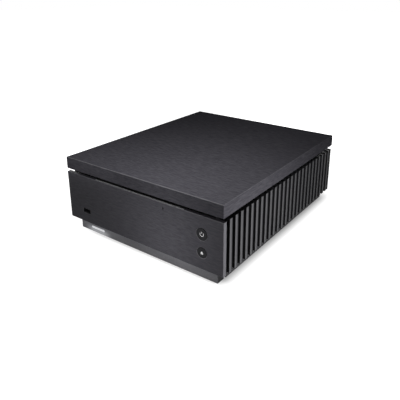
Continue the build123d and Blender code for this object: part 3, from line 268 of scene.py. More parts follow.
def makeStage(plan):
    world = bpy.data.worlds.new("studio")
    bpy.context.scene.world = world
    world.use_nodes = True
    sky = Tree(world.node_tree)
    tone = sky.mix(sky.backdropRay(), (plan["ambient"],) * 3, white)
    sky.feed(world.node_tree.nodes["Background"].inputs["Color"], tone)

    half = plan["floorSize"] / 2
    corners = [(-half, -half, 0), (half, -half, 0), (half, half, 0), (-half, half, 0)]
    mesh = bpy.data.meshes.new("floor")
    mesh.from_pydata(corners, [], [(0, 1, 2, 3)])
    floor = bpy.data.objects.new("floor", mesh)
    bpy.context.scene.collection.objects.link(floor)
    paper = Finish("floorPaper", colour=(plan["floorTone"],) * 3, rough=1.0, gloss=0.0, glowPower=1.0)
    # painted shadow: close to the object's footprint the floor's glow is taken away, so the floor there is painted
    # darker
    paintedShadow = 1.0
    for which, way, band in plan["sides"]:
        paintedShadow = paintedShadow * (1.0 - (way * paper.axis(which) - plan["half"][which]).soften(*band))
    level = paper.mix(1.0 - paintedShadow, (plan["paintedShadowGlow"],) * 3, (plan["farGlow"],) * 3)  # white past the painted contact shadow
    paper.set(glow=paper.mix(paper.backdropRay(), black, level))
    mesh.materials.append(paper.material)


makeCamera(cameraPlan)
makeLamps(lampPlan)
makeStage(stagePlan)
bpy.context.scene.view_settings.view_transform = "Standard"
print("camera, lamps and floor ready")


# Finishes, one for each material of the record and a few for single pieces

lidPlate = {"dark": (0.033, 0.032, 0.038), "light": (0.061, 0.059, 0.067), "paleTone": (0.20, 0.20, 0.21), "face": 2,
            "gloss": 0.0, "rough": 0.5, "roughSpan": 0.35, "dents": (0.25, 0.02), "streak": 2.6, "cloud": 0.25,
            "clouds": 7, "sawn": 0.0, "bevel": 0.35, "bevelStreak": (0.6, 0.8), "bevelFrontHighlight": (0.3, 0.7),
            "markShare": 0.55, "marks": ((12.0, 1.8), (6.0, 0.6))}  # length and width of the brush marks, mm
panelPlate = dict(lidPlate, face=1, gloss=0.03, rough=0.4, bevel=0.3, streak=2.0, sawn=0.2)


def brushedPlate(name, plan):  # dark anodised plate brushed along X, its end faces along Y, its bevels painted paler: uncoated metal on the chamfers, with a painted highlight strongest on the front bevels
    plate = Finish(name, gloss=plan["gloss"])
    ends = plate.ends(0)
    coarse, fine = plan["marks"]
    long, deep = [plate.streaks(way, *coarse).blend(plate.streaks(way, *fine), plan["markShare"])
                  for way in (0, 1)]
    streak = long + ends * (deep - long)
    shade = (streak - 0.5) * plan["streak"] + (plate.grain(plan["clouds"]) - 0.5) * plan["cloud"] + 0.5
    colour = plate.mix(shade.soften(0.0, 1.0), plan["dark"], plan["light"])
    colour = plate.mix(ends * plan["sawn"], colour, plan["paleTone"])
    frontHighlight = plate.facing(1).below(-0.3)  # painted highlight: the front bevels are painted paler, as they catch the most light
    (plain, streaked), (side, front) = plan["bevelStreak"], plan["bevelFrontHighlight"]
    bevel = plate.arris(plan["face"]) * (plain + streaked * streak) * (side + front * frontHighlight)
    plate.set(colour=plate.mix(bevel * plan["bevel"], colour, plan["paleTone"]),
              rough=streak.around(plan["rough"], plan["roughSpan"]), normal=plate.relief(streak, *plan["dents"]))
    return plate


basePlan = {"dark": (0.014, 0.014, 0.015), "light": (0.030, 0.030, 0.032), "upperDark": (0.10, 0.10, 0.105),
            "upperLight": (0.17, 0.17, 0.175), "gloss": 0.02, "rough": 0.5, "roughSpan": 0.3, "dents": (0.2, 0.02),
            "rolling": (40.0, 0.6), "rollShare": 0.7, "blotches": 40}


def paintedSheet(plan):  # sheet dark below and along its edges, paler on its upward faces, which show between the fins
    sheet = Finish("basePlate", gloss=plan["gloss"])
    rolled = sheet.streaks(1, *plan["rolling"]).blend(sheet.grain(plan["blotches"]), plan["rollShare"])
    # upward faces take the paler tone
    upper = sheet.facing(2).above(0.5)
    painted = sheet.mix(rolled, plan["dark"], plan["light"])
    paleTone = sheet.mix(rolled, plan["upperDark"], plan["upperLight"])
    sheet.set(colour=sheet.mix(upper, painted, paleTone), rough=rolled.around(plan["rough"], plan["roughSpan"]),
              normal=sheet.relief(rolled, *plan["dents"]))
    return sheet


finPlan = {"dark": (0.050, 0.050, 0.053), "light": (0.082, 0.081, 0.086), "gapShadeDark": (0.006, 0.006, 0.007),
           "gapShadeLight": (0.012, 0.012, 0.013), "rim": 122.42, "first": -130.0, "pitch": 10.9, "fade": 0.75,
           "fadeFrom": 0.1, "dieLines": ((90.0, 0.9), (45.0, 0.25)), "dieShare": 0.6, "sawMarks": (8.0, 0.5),
           "contrast": (0.25, 0.75), "gloss": 0.02, "rough": 0.5, "roughSpan": 0.3, "dents": (0.25, 0.02)}


def finExtrusion(plan):  # drawn aluminium with upright die lines; painted shade: the gaps between the fins are painted near black, and each outer face is painted darker towards its rear
    fins = Finish("finExtrusion", gloss=plan["gloss"])
    broad, narrow = plan["dieLines"]
    die = fins.streaks(2, *broad).blend(fins.streaks(2, *narrow), plan["dieShare"])
    streak = die + fins.ends(2) * (fins.streaks(0, *plan["sawMarks"]) - die)
    shade = streak.soften(*plan["contrast"])
    turn = (fins.axis(1) - plan["first"] * mm) * (2 * math.pi / (plan["pitch"] * mm))  # one turn for each fin
    # painted shade: each outer face darkens towards its rear, as a crowned face would be shaded
    fade = plan["fade"] * turn.sine().soften(plan["fadeFrom"], 1.0)
    outer = abs(fins.axis(0)).above(plan["rim"] * mm) * (1.0 - fade)
    # painted shade on the walls between the fins
    gap = fins.mix(shade, plan["gapShadeDark"], plan["gapShadeLight"])
    face = fins.mix(shade, plan["dark"], plan["light"])
    fins.set(colour=fins.mix(outer, gap, face), rough=streak.around(plan["rough"], plan["roughSpan"]),
             normal=fins.relief(streak, *plan["dents"]))
    return fins


evenTone = (0.3, 0.7)  # draws the middle of a noise out to its full range
powderPlan = {"dark": (0.009, 0.009, 0.010), "light": (0.017, 0.017, 0.018), "gloss": 0.12,
              "grain": (1 / (0.7 * mm), 3.0), "cloud": 25, "grainShare": 0.7, "rough": 0.62, "roughSpan": 0.25,
              "dents": (0.3, 0.03)}
rubberPlan = {"dark": (0.010, 0.010, 0.010), "light": (0.022, 0.022, 0.022), "gloss": 0.15, "grain": (1800, 3.0),
              "cloud": 60, "grainShare": 0.5, "rough": 0.75, "roughSpan": 0.2, "dents": (0.35, 0.03)}
mouldedPlan = {"dark": (0.009, 0.009, 0.010), "light": (0.017, 0.017, 0.018), "gloss": 0.3, "grain": (2200, 2.0),
               "cloud": 80, "grainShare": 0.0, "rough": 0.51, "roughSpan": 0.18, "dents": (0.2, 0.02)}
resinPlan = {"dark": (0.012, 0.012, 0.013), "light": (0.030, 0.030, 0.031), "gloss": 0.3, "grain": (3500, 2.0),
             "cloud": 80, "grainShare": 1.0, "rough": 0.65, "roughSpan": 0.2, "dents": (0.2, 0.01)}


def grainedBlack(name, plan):  # powder coat, rubber, moulded plastic or resin: clouded tones, dimpled by a fine grain
    coat = Finish(name, gloss=plan["gloss"])
    grain = coat.grain(*plan["grain"])
    tone = grain.blend(coat.grain(plan["cloud"]), plan["grainShare"])
    coat.set(colour=coat.mix(tone.soften(*evenTone), plan["dark"], plan["light"]),
             rough=grain.around(plan["rough"], plan["roughSpan"]), normal=coat.relief(grain, *plan["dents"]))
    return coat


lensPlan = {"dark": (0.001, 0.001, 0.001), "light": (0.005, 0.005, 0.005), "gloss": 0.04, "haze": 900, "rough": 0.3,
            "roughSpan": 0.2}
sheathPlan = {"dark": (0.020, 0.020, 0.021), "light": (0.045, 0.045, 0.047), "gloss": 0.4, "haze": 150, "rough": 0.4,
              "roughSpan": 0.15}
orangePlan = {"dark": (0.42, 0.11, 0.012), "light": (0.60, 0.18, 0.020), "gloss": 0.4, "haze": 600, "rough": 0.35,
              "roughSpan": 0.2}


def smoothPlastic(name, plan):  # lens, lead insulation or coloured insert: smooth and faintly hazed
    plastic = Finish(name, gloss=plan["gloss"])
    haze = plastic.grain(plan["haze"])
    plastic.set(colour=plastic.mix(haze, plan["dark"], plan["light"]), rough=plan["rough"] + haze * plan["roughSpan"])
    return plastic


acrylicPlan = {"body": (0.100, 0.099, 0.107), "milk": (0.148, 0.146, 0.156), "end": (0.008, 0.008, 0.009),
               "glow": (0.052, 0.053, 0.057), "paintedHalo": (0.27, 0.274, 0.285), "lampX": -79.0, "paintedSpill": (4.0, 70.0),
               "haloWide": (8.0, 26.0), "haloTall": (3.0, 11.0), "cloud": (30, 60, 60), "fine": (400, 400, 900),
               "cloudShare": 0.7, "contrast": (0.25, 0.75), "gloss": 0.05, "coat": 0.03, "coatRough": 0.08,
               "rough": 0.2, "roughSpan": 0.12}


def smokedAcrylic(plan):  # cloudy smoked bar; painted light: a glow painted round its lamp and along the bar, standing in for the lamp's light in it, and its end faces painted dark as shade
    bar = Finish("smokedAcrylic", gloss=plan["gloss"], coat=plan["coat"], coatRough=plan["coatRough"], glowPower=1.0)
    fade = {key: [edge * mm for edge in plan[key]] for key in ("paintedSpill", "haloWide", "haloTall")}
    cloud = bar.noise(plan["cloud"], 3.0)
    fine = bar.noise(plan["fine"])
    fromLamp = abs(bar.axis(0) - plan["lampX"] * mm)
    paintedHalo = (1.0 - fromLamp.soften(*fade["haloWide"])) * (1.0 - bar.axis(2).soften(*fade["haloTall"]))
    paintedSpill = bar.mix(fromLamp.soften(*fade["paintedSpill"]), plan["glow"], black)
    tone = cloud.blend(fine, plan["cloudShare"]).soften(*plan["contrast"])
    body = bar.mix(tone, plan["body"], plan["milk"])
    # the end faces along X are painted dark as shade; the glow is painted round the lamp
    bar.set(colour=bar.mix(bar.ends(0), body, plan["end"]), glow=bar.mix(paintedHalo, paintedSpill, plan["paintedHalo"]),
            rough=plan["rough"] + fine * plan["roughSpan"])
    return bar


windowPlan = {"rough": 0.3, "gloss": 0.2, "grain": 900, "dim": 0.8, "dark": 0.7,
              "tints": {"milkyLamp": ((0.85, 0.88, 0.92), 0.35), "litWindow": ((0.72, 0.73, 0.76), 0.62),
                        "greenLamp": ((0.10, 0.55, 0.16), 0.25), "amberLamp": ((0.80, 0.36, 0.04), 0.25)}}


def milkyLamp(name, plan):  # diffusing lamp window, its glow mottled by a fine grain
    tint, power = plan["tints"][name]
    lamp = Finish(name, rough=plan["rough"], gloss=plan["gloss"], glowPower=1.0)
    grain = lamp.grain(plan["grain"])
    dark, full, dim = [tuple(part * share for part in tint) for share in (plan["dark"], power, power * plan["dim"])]
    lamp.set(colour=lamp.mix(grain, dark, tint), glow=lamp.mix(grain, dim, full))
    return lamp


feltPlan = {"shade": (0.003, 0.003, 0.003), "nap": (0.010, 0.010, 0.010), "sheen": 0.02, "sheenRough": 0.5,
            "gloss": 0.02, "fibres": ((600, 2600, 2600), (2600, 900, 2600)), "clumps": 260, "fibreShare": 0.7,
            "contrast": (0.32, 0.68), "rough": 0.9, "roughSpan": 0.1, "dents": (0.5, 0.1)}
tapePlan = dict(feltPlan, shade=(0.11, 0.11, 0.114), nap=(0.29, 0.29, 0.295), sheen=0.08)


def lipFelt(name, plan):  # short nap: fine fibres lying every way
    felt = Finish(name, gloss=plan["gloss"], sheen=plan["sheen"], sheenRough=plan["sheenRough"])
    first, second = [felt.noise(lie, 3.0, 0.7) for lie in plan["fibres"]]
    fibre = first.blend(second, 0.5)
    tone = fibre.blend(felt.grain(plan["clumps"]), plan["fibreShare"]).soften(*plan["contrast"])
    felt.set(colour=felt.mix(tone, plan["shade"], plan["nap"]),
             rough=fibre.around(plan["rough"], plan["roughSpan"]), normal=felt.relief(fibre, *plan["dents"]))
    return felt


steelPlan = {"black": (0.020, 0.020, 0.021), "rubbed": (0.085, 0.083, 0.080), "metal": 0.85, "spots": (700, 3.0),
             "contrast": (0.45, 0.8), "grain": 3000, "rough": 0.34, "roughSpan": 0.2, "dents": (0.15, 0.01)}


def screwSteel(plan):  # blackened steel, rubbed a little brighter in spots
    steel = Finish("screwSteel", metal=plan["metal"])
    grain = steel.grain(plan["grain"])
    rub = steel.grain(*plan["spots"]).soften(*plan["contrast"])
    steel.set(colour=steel.mix(rub, plan["black"], plan["rubbed"]), rough=plan["rough"] + grain * plan["roughSpan"],
              normal=steel.relief(grain, *plan["dents"]))
    return steel


buttonPlan = {"x": 94.3, "lowZ": 36.7, "highZ": 59.0, "pitch": 0.16, "dark": (0.008, 0.008, 0.009),
              "light": (0.016, 0.016, 0.018), "gloss": 0.05, "patches": 500, "rough": 0.36, "roughSpan": 0.12,
              "dents": (0.12, 0.01)}


def turnedButton(plan):  # fine rings round each button's own axis
    button = Finish("turnedButton", gloss=plan["gloss"])
    x, z = button.axis(0), button.axis(2)
    upper = z.above((plan["lowZ"] + plan["highZ"]) / 2 * mm)
    fromX = x - plan["x"] * mm
    fromZ = z - plan["lowZ"] * mm - upper * ((plan["highZ"] - plan["lowZ"]) * mm)
    reach = (fromX * fromX + fromZ * fromZ) ** 0.5
    ring = (reach * (2 * math.pi / (plan["pitch"] * mm))).sine() * 0.5 + 0.5
    tone = ring.blend(button.grain(plan["patches"]), 0.5)
    button.set(colour=button.mix(tone, plan["dark"], plan["light"]), rough=plan["rough"] + ring * plan["roughSpan"],
               normal=button.relief(ring, *plan["dents"]))
    return button


zincPlan = {"dark": (0.22, 0.22, 0.23), "light": (0.40, 0.40, 0.41), "rolling": (40.0, 0.6), "spangles": 420,
            "spangleShare": 0.2, "rough": 0.28, "roughSpan": 0.18, "dents": (0.1, 0.01)}


def zincSheet(plan):  # plated steel with faint spangles and rolling lines
    zinc = Finish("zincSheet", metal=1.0)
    roll = zinc.streaks(1, *plan["rolling"])
    tone = zinc.cells(plan["spangles"]).soften(0.0, 1.0).blend(roll, plan["spangleShare"])
    zinc.set(colour=zinc.mix(tone, plan["dark"], plan["light"]), rough=plan["rough"] + roll * plan["roughSpan"],
             normal=zinc.relief(roll, *plan["dents"]))
    return zinc


boardPlan = {"mask": (0.010, 0.050, 0.026), "track": (0.022, 0.105, 0.052), "pad": (0.55, 0.42, 0.18),
             "padMetal": 0.9, "holes": 170, "holeSize": 0.16, "haze": 300, "trackShare": 0.8,
             "layout": {"offset": 0.37, "offset_frequency": 3},
             "tracks": {"Scale": 260.0, "Mortar Size": 0.10, "Mortar Smooth": 0.1, "Brick Width": 1.6,
                        "Row Height": 0.5},
             "gloss": 0.4, "rough": 0.35, "roughSpan": 0.15, "dents": (0.2, 0.03)}


def boardMask(plan):  # solder mask over square-cornered tracks, with plated holes
    board = Finish("boardMask", gloss=plan["gloss"])
    track = board.node("ShaderNodeTexBrick", plan["layout"], {"Vector": board.coords((1, 1, 1)), **plan["tracks"]},
                       "Fac")
    hole = board.cells(plan["holes"]).below(plan["holeSize"])
    haze = board.grain(plan["haze"])
    base = board.mix(track.blend(haze, plan["trackShare"]), plan["mask"], plan["track"])
    board.set(colour=board.mix(hole, base, plan["pad"]), metal=hole * plan["padMetal"],
              rough=plan["rough"] + haze * plan["roughSpan"], normal=board.relief(track, *plan["dents"]))
    return board


milledPlan = {"dark": (0.46, 0.46, 0.47), "light": (0.66, 0.66, 0.66), "lines": (30.0, 0.4), "rough": 0.30,
              "roughSpan": 0.2, "dents": (0.15, 0.01)}


def milledAluminium(plan):  # bare metal with fine cutter lines
    paleTone = Finish("milledAluminium", metal=1.0)
    line = paleTone.streaks(0, *plan["lines"])
    paleTone.set(colour=paleTone.mix(line, plan["dark"], plan["light"]), rough=plan["rough"] + line * plan["roughSpan"],
             normal=paleTone.relief(line, *plan["dents"]))
    return paleTone


windingPlan = {"dark": (0.34, 0.20, 0.020), "light": (0.56, 0.38, 0.060), "wraps": 90, "wrapShare": 0.7, "haze": 120,
               "wave": {"Scale": 1.0, "Distortion": 0.6, "Detail": 1.0}, "gloss": 0.4, "rough": 0.35,
               "roughSpan": 0.2, "dents": (0.4, 0.1)}


def windingTape(plan):  # wound core under overlapping yellow tape
    tape = Finish("windingTape", gloss=plan["gloss"])
    wrap = tape.node("ShaderNodeTexWave", {"wave_type": "BANDS", "bands_direction": "DIAGONAL"},
                     {"Vector": tape.coords((plan["wraps"],) * 3), **plan["wave"]}, "Fac")
    haze = tape.grain(plan["haze"])
    tape.set(colour=tape.mix(wrap.blend(haze, plan["wrapShare"]), plan["dark"], plan["light"]),
             rough=plan["rough"] + haze * plan["roughSpan"], normal=tape.relief(wrap, *plan["dents"]))
    return tape


sleevePlan = {"dark": (0.010, 0.016, 0.045), "light": (0.022, 0.034, 0.085), "stripe": (0.40, 0.42, 0.45),
              "stripeEdge": 0.93, "haze": 200, "gloss": 0.4, "rough": 0.32, "roughSpan": 0.15}


def capacitorSleeve(plan):  # shrink sleeve with a pale upright stripe
    sleeve = Finish("capacitorSleeve", gloss=plan["gloss"])
    haze = sleeve.grain(plan["haze"])
    base = sleeve.mix(haze, plan["dark"], plan["light"])
    stripe = sleeve.facing(0).above(plan["stripeEdge"])
    sleeve.set(colour=sleeve.mix(stripe, base, plan["stripe"]), rough=plan["rough"] + haze * plan["roughSpan"])
    return sleeve


brassPlan = {"clean": (0.72, 0.52, 0.22), "tarnished": (0.52, 0.35, 0.13), "patches": (350, 3.0), "rough": 0.22,
             "roughSpan": 0.2}


def contactBrass(plan):  # plated brass, slightly tarnished
    brass = Finish("contactBrass", metal=1.0)
    tarnish = brass.grain(*plan["patches"])
    brass.set(colour=brass.mix(tarnish.soften(*evenTone), plan["clean"], plan["tarnished"]),
              rough=plan["rough"] + tarnish * plan["roughSpan"])
    return brass


paintPlan = {"dark": (0.56, 0.56, 0.57), "light": (0.72, 0.72, 0.73), "dim": (0.08,) * 3, "bright": (0.12,) * 3,
             "grain": 2500, "rough": 0.5, "gloss": 0.2}


def markPaint(plan):  # thin white printing, given a faint painted glow though it is no lamp
    paint = Finish("markPaint", rough=plan["rough"], gloss=plan["gloss"], glowPower=1.0)
    grain = paint.grain(plan["grain"])
    paint.set(colour=paint.mix(grain, plan["dark"], plan["light"]), glow=paint.mix(grain, plan["dim"], plan["bright"]))
    return paint


finishes = {
    "anodised_plate": brushedPlate("brushedPlate", lidPlate),
    "finned_aluminium": finExtrusion(finPlan),
    "black_metal": grainedBlack("powderBlack", powderPlan),
    "smoked_acrylic": smokedAcrylic(acrylicPlan),
    "lamp": milkyLamp("milkyLamp", windowPlan),
    "black_rubber": grainedBlack("footRubber", rubberPlan),
    "grey_felt": lipFelt("lipFelt", feltPlan),
    "screw_steel": screwSteel(steelPlan),
    "button_metal": turnedButton(buttonPlan),
    "plated_steel": zincSheet(zincPlan),
    "black_plastic": grainedBlack("mouldedBlack", mouldedPlan),
    "circuit_board": boardMask(boardPlan),
    "chip_resin": grainedBlack("chipResin", resinPlan),
    "bare_aluminium": milledAluminium(milledPlan),
    "taped_core": windingTape(windingPlan),
    "capacitor_sleeve": capacitorSleeve(sleevePlan),
    "brass_plate": contactBrass(brassPlan),
    "lead_sheath": smoothPlastic("leadSheath", sheathPlan),
}
panelFinish = brushedPlate("brushedPanel", panelPlate)
paintFinish = markPaint(paintPlan)

for part in frame["record"]["subparts"]:
    item = nodes[part["node"]]
    item.data.materials.clear()
    item.data.materials.append(finishes[part["material_slot"]].material)
nodes["front_panel"].data.materials[0] = panelFinish.material
# painted shade: the front USB shell takes the black finish in place of plated steel, so that the socket's mouth reads
# dark
nodes["front_usb_shell"].data.materials[0] = finishes["black_metal"].material
nodes["base_plate"].data.materials[0] = paintedSheet(basePlan).material


# Surfaces: every new piece is one or more grids of points, worked out in mm

weldGap, thinEdge = 1e-7, 1e-8  # metres


def gridQuads(rows, columns, first):  # the quads of a grid whose last column joins its first
    row = np.arange(rows - 1)[:, None] * columns
    here = np.arange(columns)[None, :]
    after = (here + 1) % columns
    corners = [row + here, row + after, row + columns + after, row + columns + here]
    return (np.stack(corners, -1) + first).reshape(-1, 4)


def addPiece(name, sheets, finish, body, stands=(), crease=32):
    sizes = [sheet.shape[:2] for sheet in sheets]
    starts = np.cumsum([0] + [rows * columns for rows, columns in sizes])
    points = np.concatenate([sheet.reshape(-1, 3) for sheet in sheets])
    quads = np.concatenate([gridQuads(*size, first) for size, first in zip(sizes, starts)])
    mesh = bpy.data.meshes.new(name)
    mesh.from_pydata((points * mm).tolist(), [], quads.tolist())
    work = bmesh.new()
    work.from_mesh(mesh)
    bmesh.ops.remove_doubles(work, verts=work.verts, dist=weldGap)  # closes the poles
    bmesh.ops.dissolve_degenerate(work, edges=work.edges, dist=thinEdge)
    bmesh.ops.recalc_face_normals(work, faces=work.faces)
    work.to_mesh(mesh)
    work.free()
    mesh.shade_smooth()
    mesh.set_sharp_from_angle(angle=math.radians(crease))
    mesh.materials.append(finish.material)
    piece = bpy.data.objects.new(name, mesh)
    bpy.context.scene.collection.objects.link(piece)
    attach(piece, body)
    if stands:
        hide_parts(*stands)


axes = {  # outward way, sideways way and upright way of a face, by the side it looks to
    "front": np.array([(0, -1, 0), (1, 0, 0), (0, 0, 1)], float),
    "rear": np.array([(0, 1, 0), (-1, 0, 0), (0, 0, 1)], float),
    "down": np.array([(0, 0, -1), (1, 0, 0), (0, -1, 0)], float),
    "up": np.array([(0, 0, 1), (1, 0, 0), (0, 1, 0)], float),
}


def placed(plan):  # the middle of a piece on a front or rear face
    return plan["x"], plan["face"], plan["z"]


def stacked(rings, heights, centre, side):
    # flat outlines (across, upright) stacked outwards: centre + height * outward + across * sideways + upright * up
    outward, across, up = axes[side] if isinstance(side, str) else side
    rings = np.array(rings, float)
    heights = np.array(heights, float)[:, None, None]
    return np.array(centre) + heights * outward + rings[..., :1] * across + rings[..., 1:] * up


def spokes(count):
    turn = np.linspace(0, 2 * np.pi, count, endpoint=False)
    return turn, np.stack([np.cos(turn), np.sin(turn)], -1)


def circle(radius, count=48):  # radius * (cos, sin)
    return radius * spokes(count)[1]


def flats(apothem, sides, count=48):
    # a regular polygon met by evenly spaced rays: apothem / cos(angle to the nearest flat)
    turn, rays = spokes(count)
    step = 2 * np.pi / sides
    reach = apothem / np.cos((turn + step / 2) % step - step / 2)
    return reach[:, None] * rays


def roundRect(halfWide, halfTall, corner, steps=6):  # four quarter arcs about the corner centres
    turn = np.arange(4)[:, None] * np.pi / 2 + np.linspace(0, np.pi / 2, steps)[None, :]
    across = np.array([1, -1, -1, 1])[:, None] * (halfWide - corner) + corner * np.cos(turn)
    upright = np.array([1, 1, -1, -1])[:, None] * (halfTall - corner) + corner * np.sin(turn)
    return np.stack([across.ravel(), upright.ravel()], -1)


def turned(profile, centre, side, count=48):
    # a profile of (radius, height) turned about the outward axis
    profile = np.array(profile, float)
    return stacked(profile[:, 0][:, None, None] * circle(1.0, count)[None], profile[:, 1], centre, side)


def carried(profile, path, upright):
    # a closed profile (across, upright) carried along a path: path + across * sideways + upright * up,
    # its ends drawn to a point
    path = np.array(path, float)
    along = np.gradient(path, axis=0)
    along /= np.linalg.norm(along, axis=1, keepdims=True)
    upright = np.broadcast_to(np.array(upright, float), path.shape)
    across = np.cross(along, upright)
    across /= np.linalg.norm(across, axis=1, keepdims=True)
    up = np.cross(across, along)
    rings = path[:, None] + profile[None, :, :1] * across[:, None] + profile[None, :, 1:] * up[:, None]
    caps = np.broadcast_to(rings.mean(1, keepdims=True), rings.shape)
    return np.concatenate([caps[:1], rings, caps[-1:]])


def raised(outline, height, edge, centre, side):
    # a flat outline raised from a face: straight up, its edge rounded in, then closed over the top and below
    inner = outline * (1 - edge / np.abs(outline).max())
    rings = [outline * 0, outline, outline, inner, inner * 0]
    return stacked(rings, [0, 0, height - edge / 2, height, height], centre, side)


# Marks on the two buttons: an open ring with a stroke, and a triangle over a bar

standbyMark = {"x": 94.3, "z": 59.0, "face": -143.8, "height": 0.1, "edge": 0.03, "ring": 2.3, "band": 0.6,
               "bandCorner": 0.04, "gap": 104.0, "steps": 60, "strokeLow": 1.0, "strokeHigh": 3.0, "corner": 0.18}
ejectMark = {"x": 94.3, "z": 36.7, "face": -143.8, "height": 0.1, "edge": 0.03, "half": 1.6, "rise": 2.3,
             "steps": 60, "bar": 0.68, "corner": 0.12, "space": 0.45}


def makeStandbyMark(plan):
    # a thin flat band carried along an arc, ring * (cos, sin), with a rounded stroke raised in the arc's gap
    half = math.radians(plan["gap"] / 2)
    turn = np.linspace(np.pi / 2 + half, np.pi * 2.5 - half, plan["steps"])
    level = np.full(plan["steps"], plan["face"] - plan["height"] / 2)
    path = np.stack([plan["x"] + plan["ring"] * np.cos(turn), level, plan["z"] + plan["ring"] * np.sin(turn)], -1)
    band = roundRect(plan["band"] / 2, plan["height"] / 2, plan["bandCorner"], 3)
    ring = carried(band, path, (0, -1, 0))
    middle = (plan["strokeLow"] + plan["strokeHigh"]) / 2
    outline = roundRect(plan["band"] / 2, (plan["strokeHigh"] - plan["strokeLow"]) / 2, plan["corner"])
    place = (plan["x"], plan["face"], plan["z"] + middle)
    stroke = raised(outline, plan["height"], plan["edge"], place, "front")
    addPiece("standbyMark", [ring, stroke], paintFinish, "standby")


def makeEjectMark(plan):
    # a three-sided polygon squeezed upright, apex up, and a rounded bar below it, both raised from the face
    shape = flats(1.0, 3, plan["steps"])
    shape = np.stack([shape[:, 1] / np.sqrt(3) * plan["half"], -shape[:, 0] / 3 * plan["rise"]], -1)
    bar = roundRect(plan["half"], plan["bar"] / 2, plan["corner"])
    bottom = plan["z"] - (plan["rise"] + plan["space"] + plan["bar"]) / 2
    apexZ = bottom + plan["bar"] + plan["space"] - shape[:, 1].min()
    places = [(plan["x"], plan["face"], z) for z in (apexZ, bottom + plan["bar"] / 2)]
    sheets = [raised(outline, plan["height"], plan["edge"], place, "front")
              for outline, place in zip((shape, bar), places)]
    addPiece("ejectMark", sheets, paintFinish, "eject")


makeStandbyMark(standbyMark)
makeEjectMark(ejectMark)
print("button marks ready")


# Felt lip of the disc slot, lit bar of the plinth, lens of the status lamp

slotLip = {"half": 69.8, "front": -138.6, "rear": -133.0, "low": 77.5, "top": 81.2, "round": 1.1, "nap": 0.05,
           "steps": 340, "cornerSteps": 9, "waves": (5.1, 7.3, 2.3, 6.7), "crease": 60}
lipTape = dict(slotLip, front=-143.6, rear=-141.5, low=80.8, top=81.25, round=0.15, nap=0.04)
# painted shade: this strip behind the pale tape and the curtain below are near-black felt put in the slot where it
# lies in shadow
lipShade = dict(lipTape, front=-141.5, rear=-139.0)
slotShadeCurtain = dict(slotLip, rear=-135.2, low=81.6, top=85.45, round=0.6)
litBar = {"x": -79.0, "z": 7.25, "face": -137.5, "outline": (12.0, 1.5, 1.45), "height": 0.2, "edge": 0.12}
statusLens = {"x": 40.5, "z": 74.1, "face": -143.0, "radius": 1.22, "sunk": 0.4, "dome": 0.35,
              "curve": ((0.8, 0.6), (0.45, 0.9)), "spokes": 32}


def makeFelt(name, plan, finish, stands=()):
    # rounded bar profile carried along X, its surface ruffled by a product of sines for the nap, within its own box
    halfDeep, halfTall = (plan["rear"] - plan["front"]) / 2, (plan["top"] - plan["low"]) / 2
    profile = roundRect(halfDeep - plan["nap"], halfTall - plan["nap"], plan["round"], plan["cornerSteps"])
    x = np.linspace(-plan["half"], plan["half"], plan["steps"])
    y = np.full(plan["steps"], (plan["rear"] + plan["front"]) / 2)
    z = np.full(plan["steps"], (plan["top"] + plan["low"]) / 2)
    path = np.stack([x, y, z], -1)
    sheet = carried(profile, path, (0, 0, 1))
    skin = sheet[1:-1]
    firstX, firstY, secondX, secondZ = plan["waves"]
    ruffle = np.sin(skin[..., 0] * firstX + skin[..., 1] * firstY)
    ruffle = ruffle * np.sin(skin[..., 0] * secondX - skin[..., 2] * secondZ)
    out = skin - path[:, None]
    skin = skin + out / np.linalg.norm(out, axis=-1, keepdims=True) * (ruffle * plan["nap"])[..., None]
    sheet = np.concatenate([sheet[:1], skin, sheet[-1:]])
    addPiece(name, [sheet], finish, "chassis", stands, plan["crease"])


def makeLens(plan):
    # a short plug turned about Y, its face a low dome of (share of the radius, share of the rise)
    radius, dome = plan["radius"], plan["dome"]
    profile = [(0.0, -plan["sunk"]), (radius, -plan["sunk"]), (radius, 0.0)]
    profile += [(radius * share, dome * rise) for share, rise in plan["curve"]] + [(0.0, dome)]
    lens = turned(profile, placed(plan), "front", plan["spokes"])
    addPiece("statusLens", [lens], smoothPlastic("smokedLens", lensPlan), "chassis")


makeFelt("slotLip", slotLip, finishes["grey_felt"], ["slot_felt"])
makeFelt("lipTape", lipTape, lipFelt("tapeFelt", tapePlan))
# painted shade: two near-black felt pieces in the slot, where it is in shadow
makeFelt("lipShade", lipShade, finishes["grey_felt"])
makeFelt("slotShadeCurtain", slotShadeCurtain, finishes["grey_felt"])
addPiece("litBar", [raised(roundRect(*litBar["outline"]), litBar["height"], litBar["edge"], placed(litBar), "front")],
         milkyLamp("litWindow", windowPlan), "chassis")
makeLens(statusLens)
print("lip, lit bar and lens ready")


# Screws with hexagon sockets, turned feet: heads and feet as (radius, height), sockets as (share of the key, height)

screwPlan = {"shank": 1.5, "head": ((2.8, 0.0), (2.8, 0.9), (2.68, 1.35), (2.25, 1.68), (1.7, 1.8)), "key": 1.05,
             "socket": ((1.08, 1.8), (1.0, 1.7), (1.0, 0.7), (0.0, 0.45)),
             "rows": {"rear": {"reach": 5.0, "y": 113.0, "x": (-94.5, 94.5), "z": (22.5, 74.8)},
                      "inlet": {"reach": 5.5, "y": 115.5, "x": (-86.0, -46.0), "z": (36.0,)},
                      "front": {"reach": 6.5, "y": -134.0, "x": (-94.5, 94.5), "z": (22.5, 74.8)}}}
tiePlan = {"x": (-104.5, 104.5), "y": (-105.0, -1.0, 103.0), "z": 13.5, "key": 1.25,
           "socket": ((0.0, -1.4), (1.0, -1.1), (1.0, -0.1), (1.08, 0.0)),
           "head": ((3.8, 0.0), (3.9, -0.08), (2.0, -2.0), (2.0, -80.0), (0.0, -80.0))}
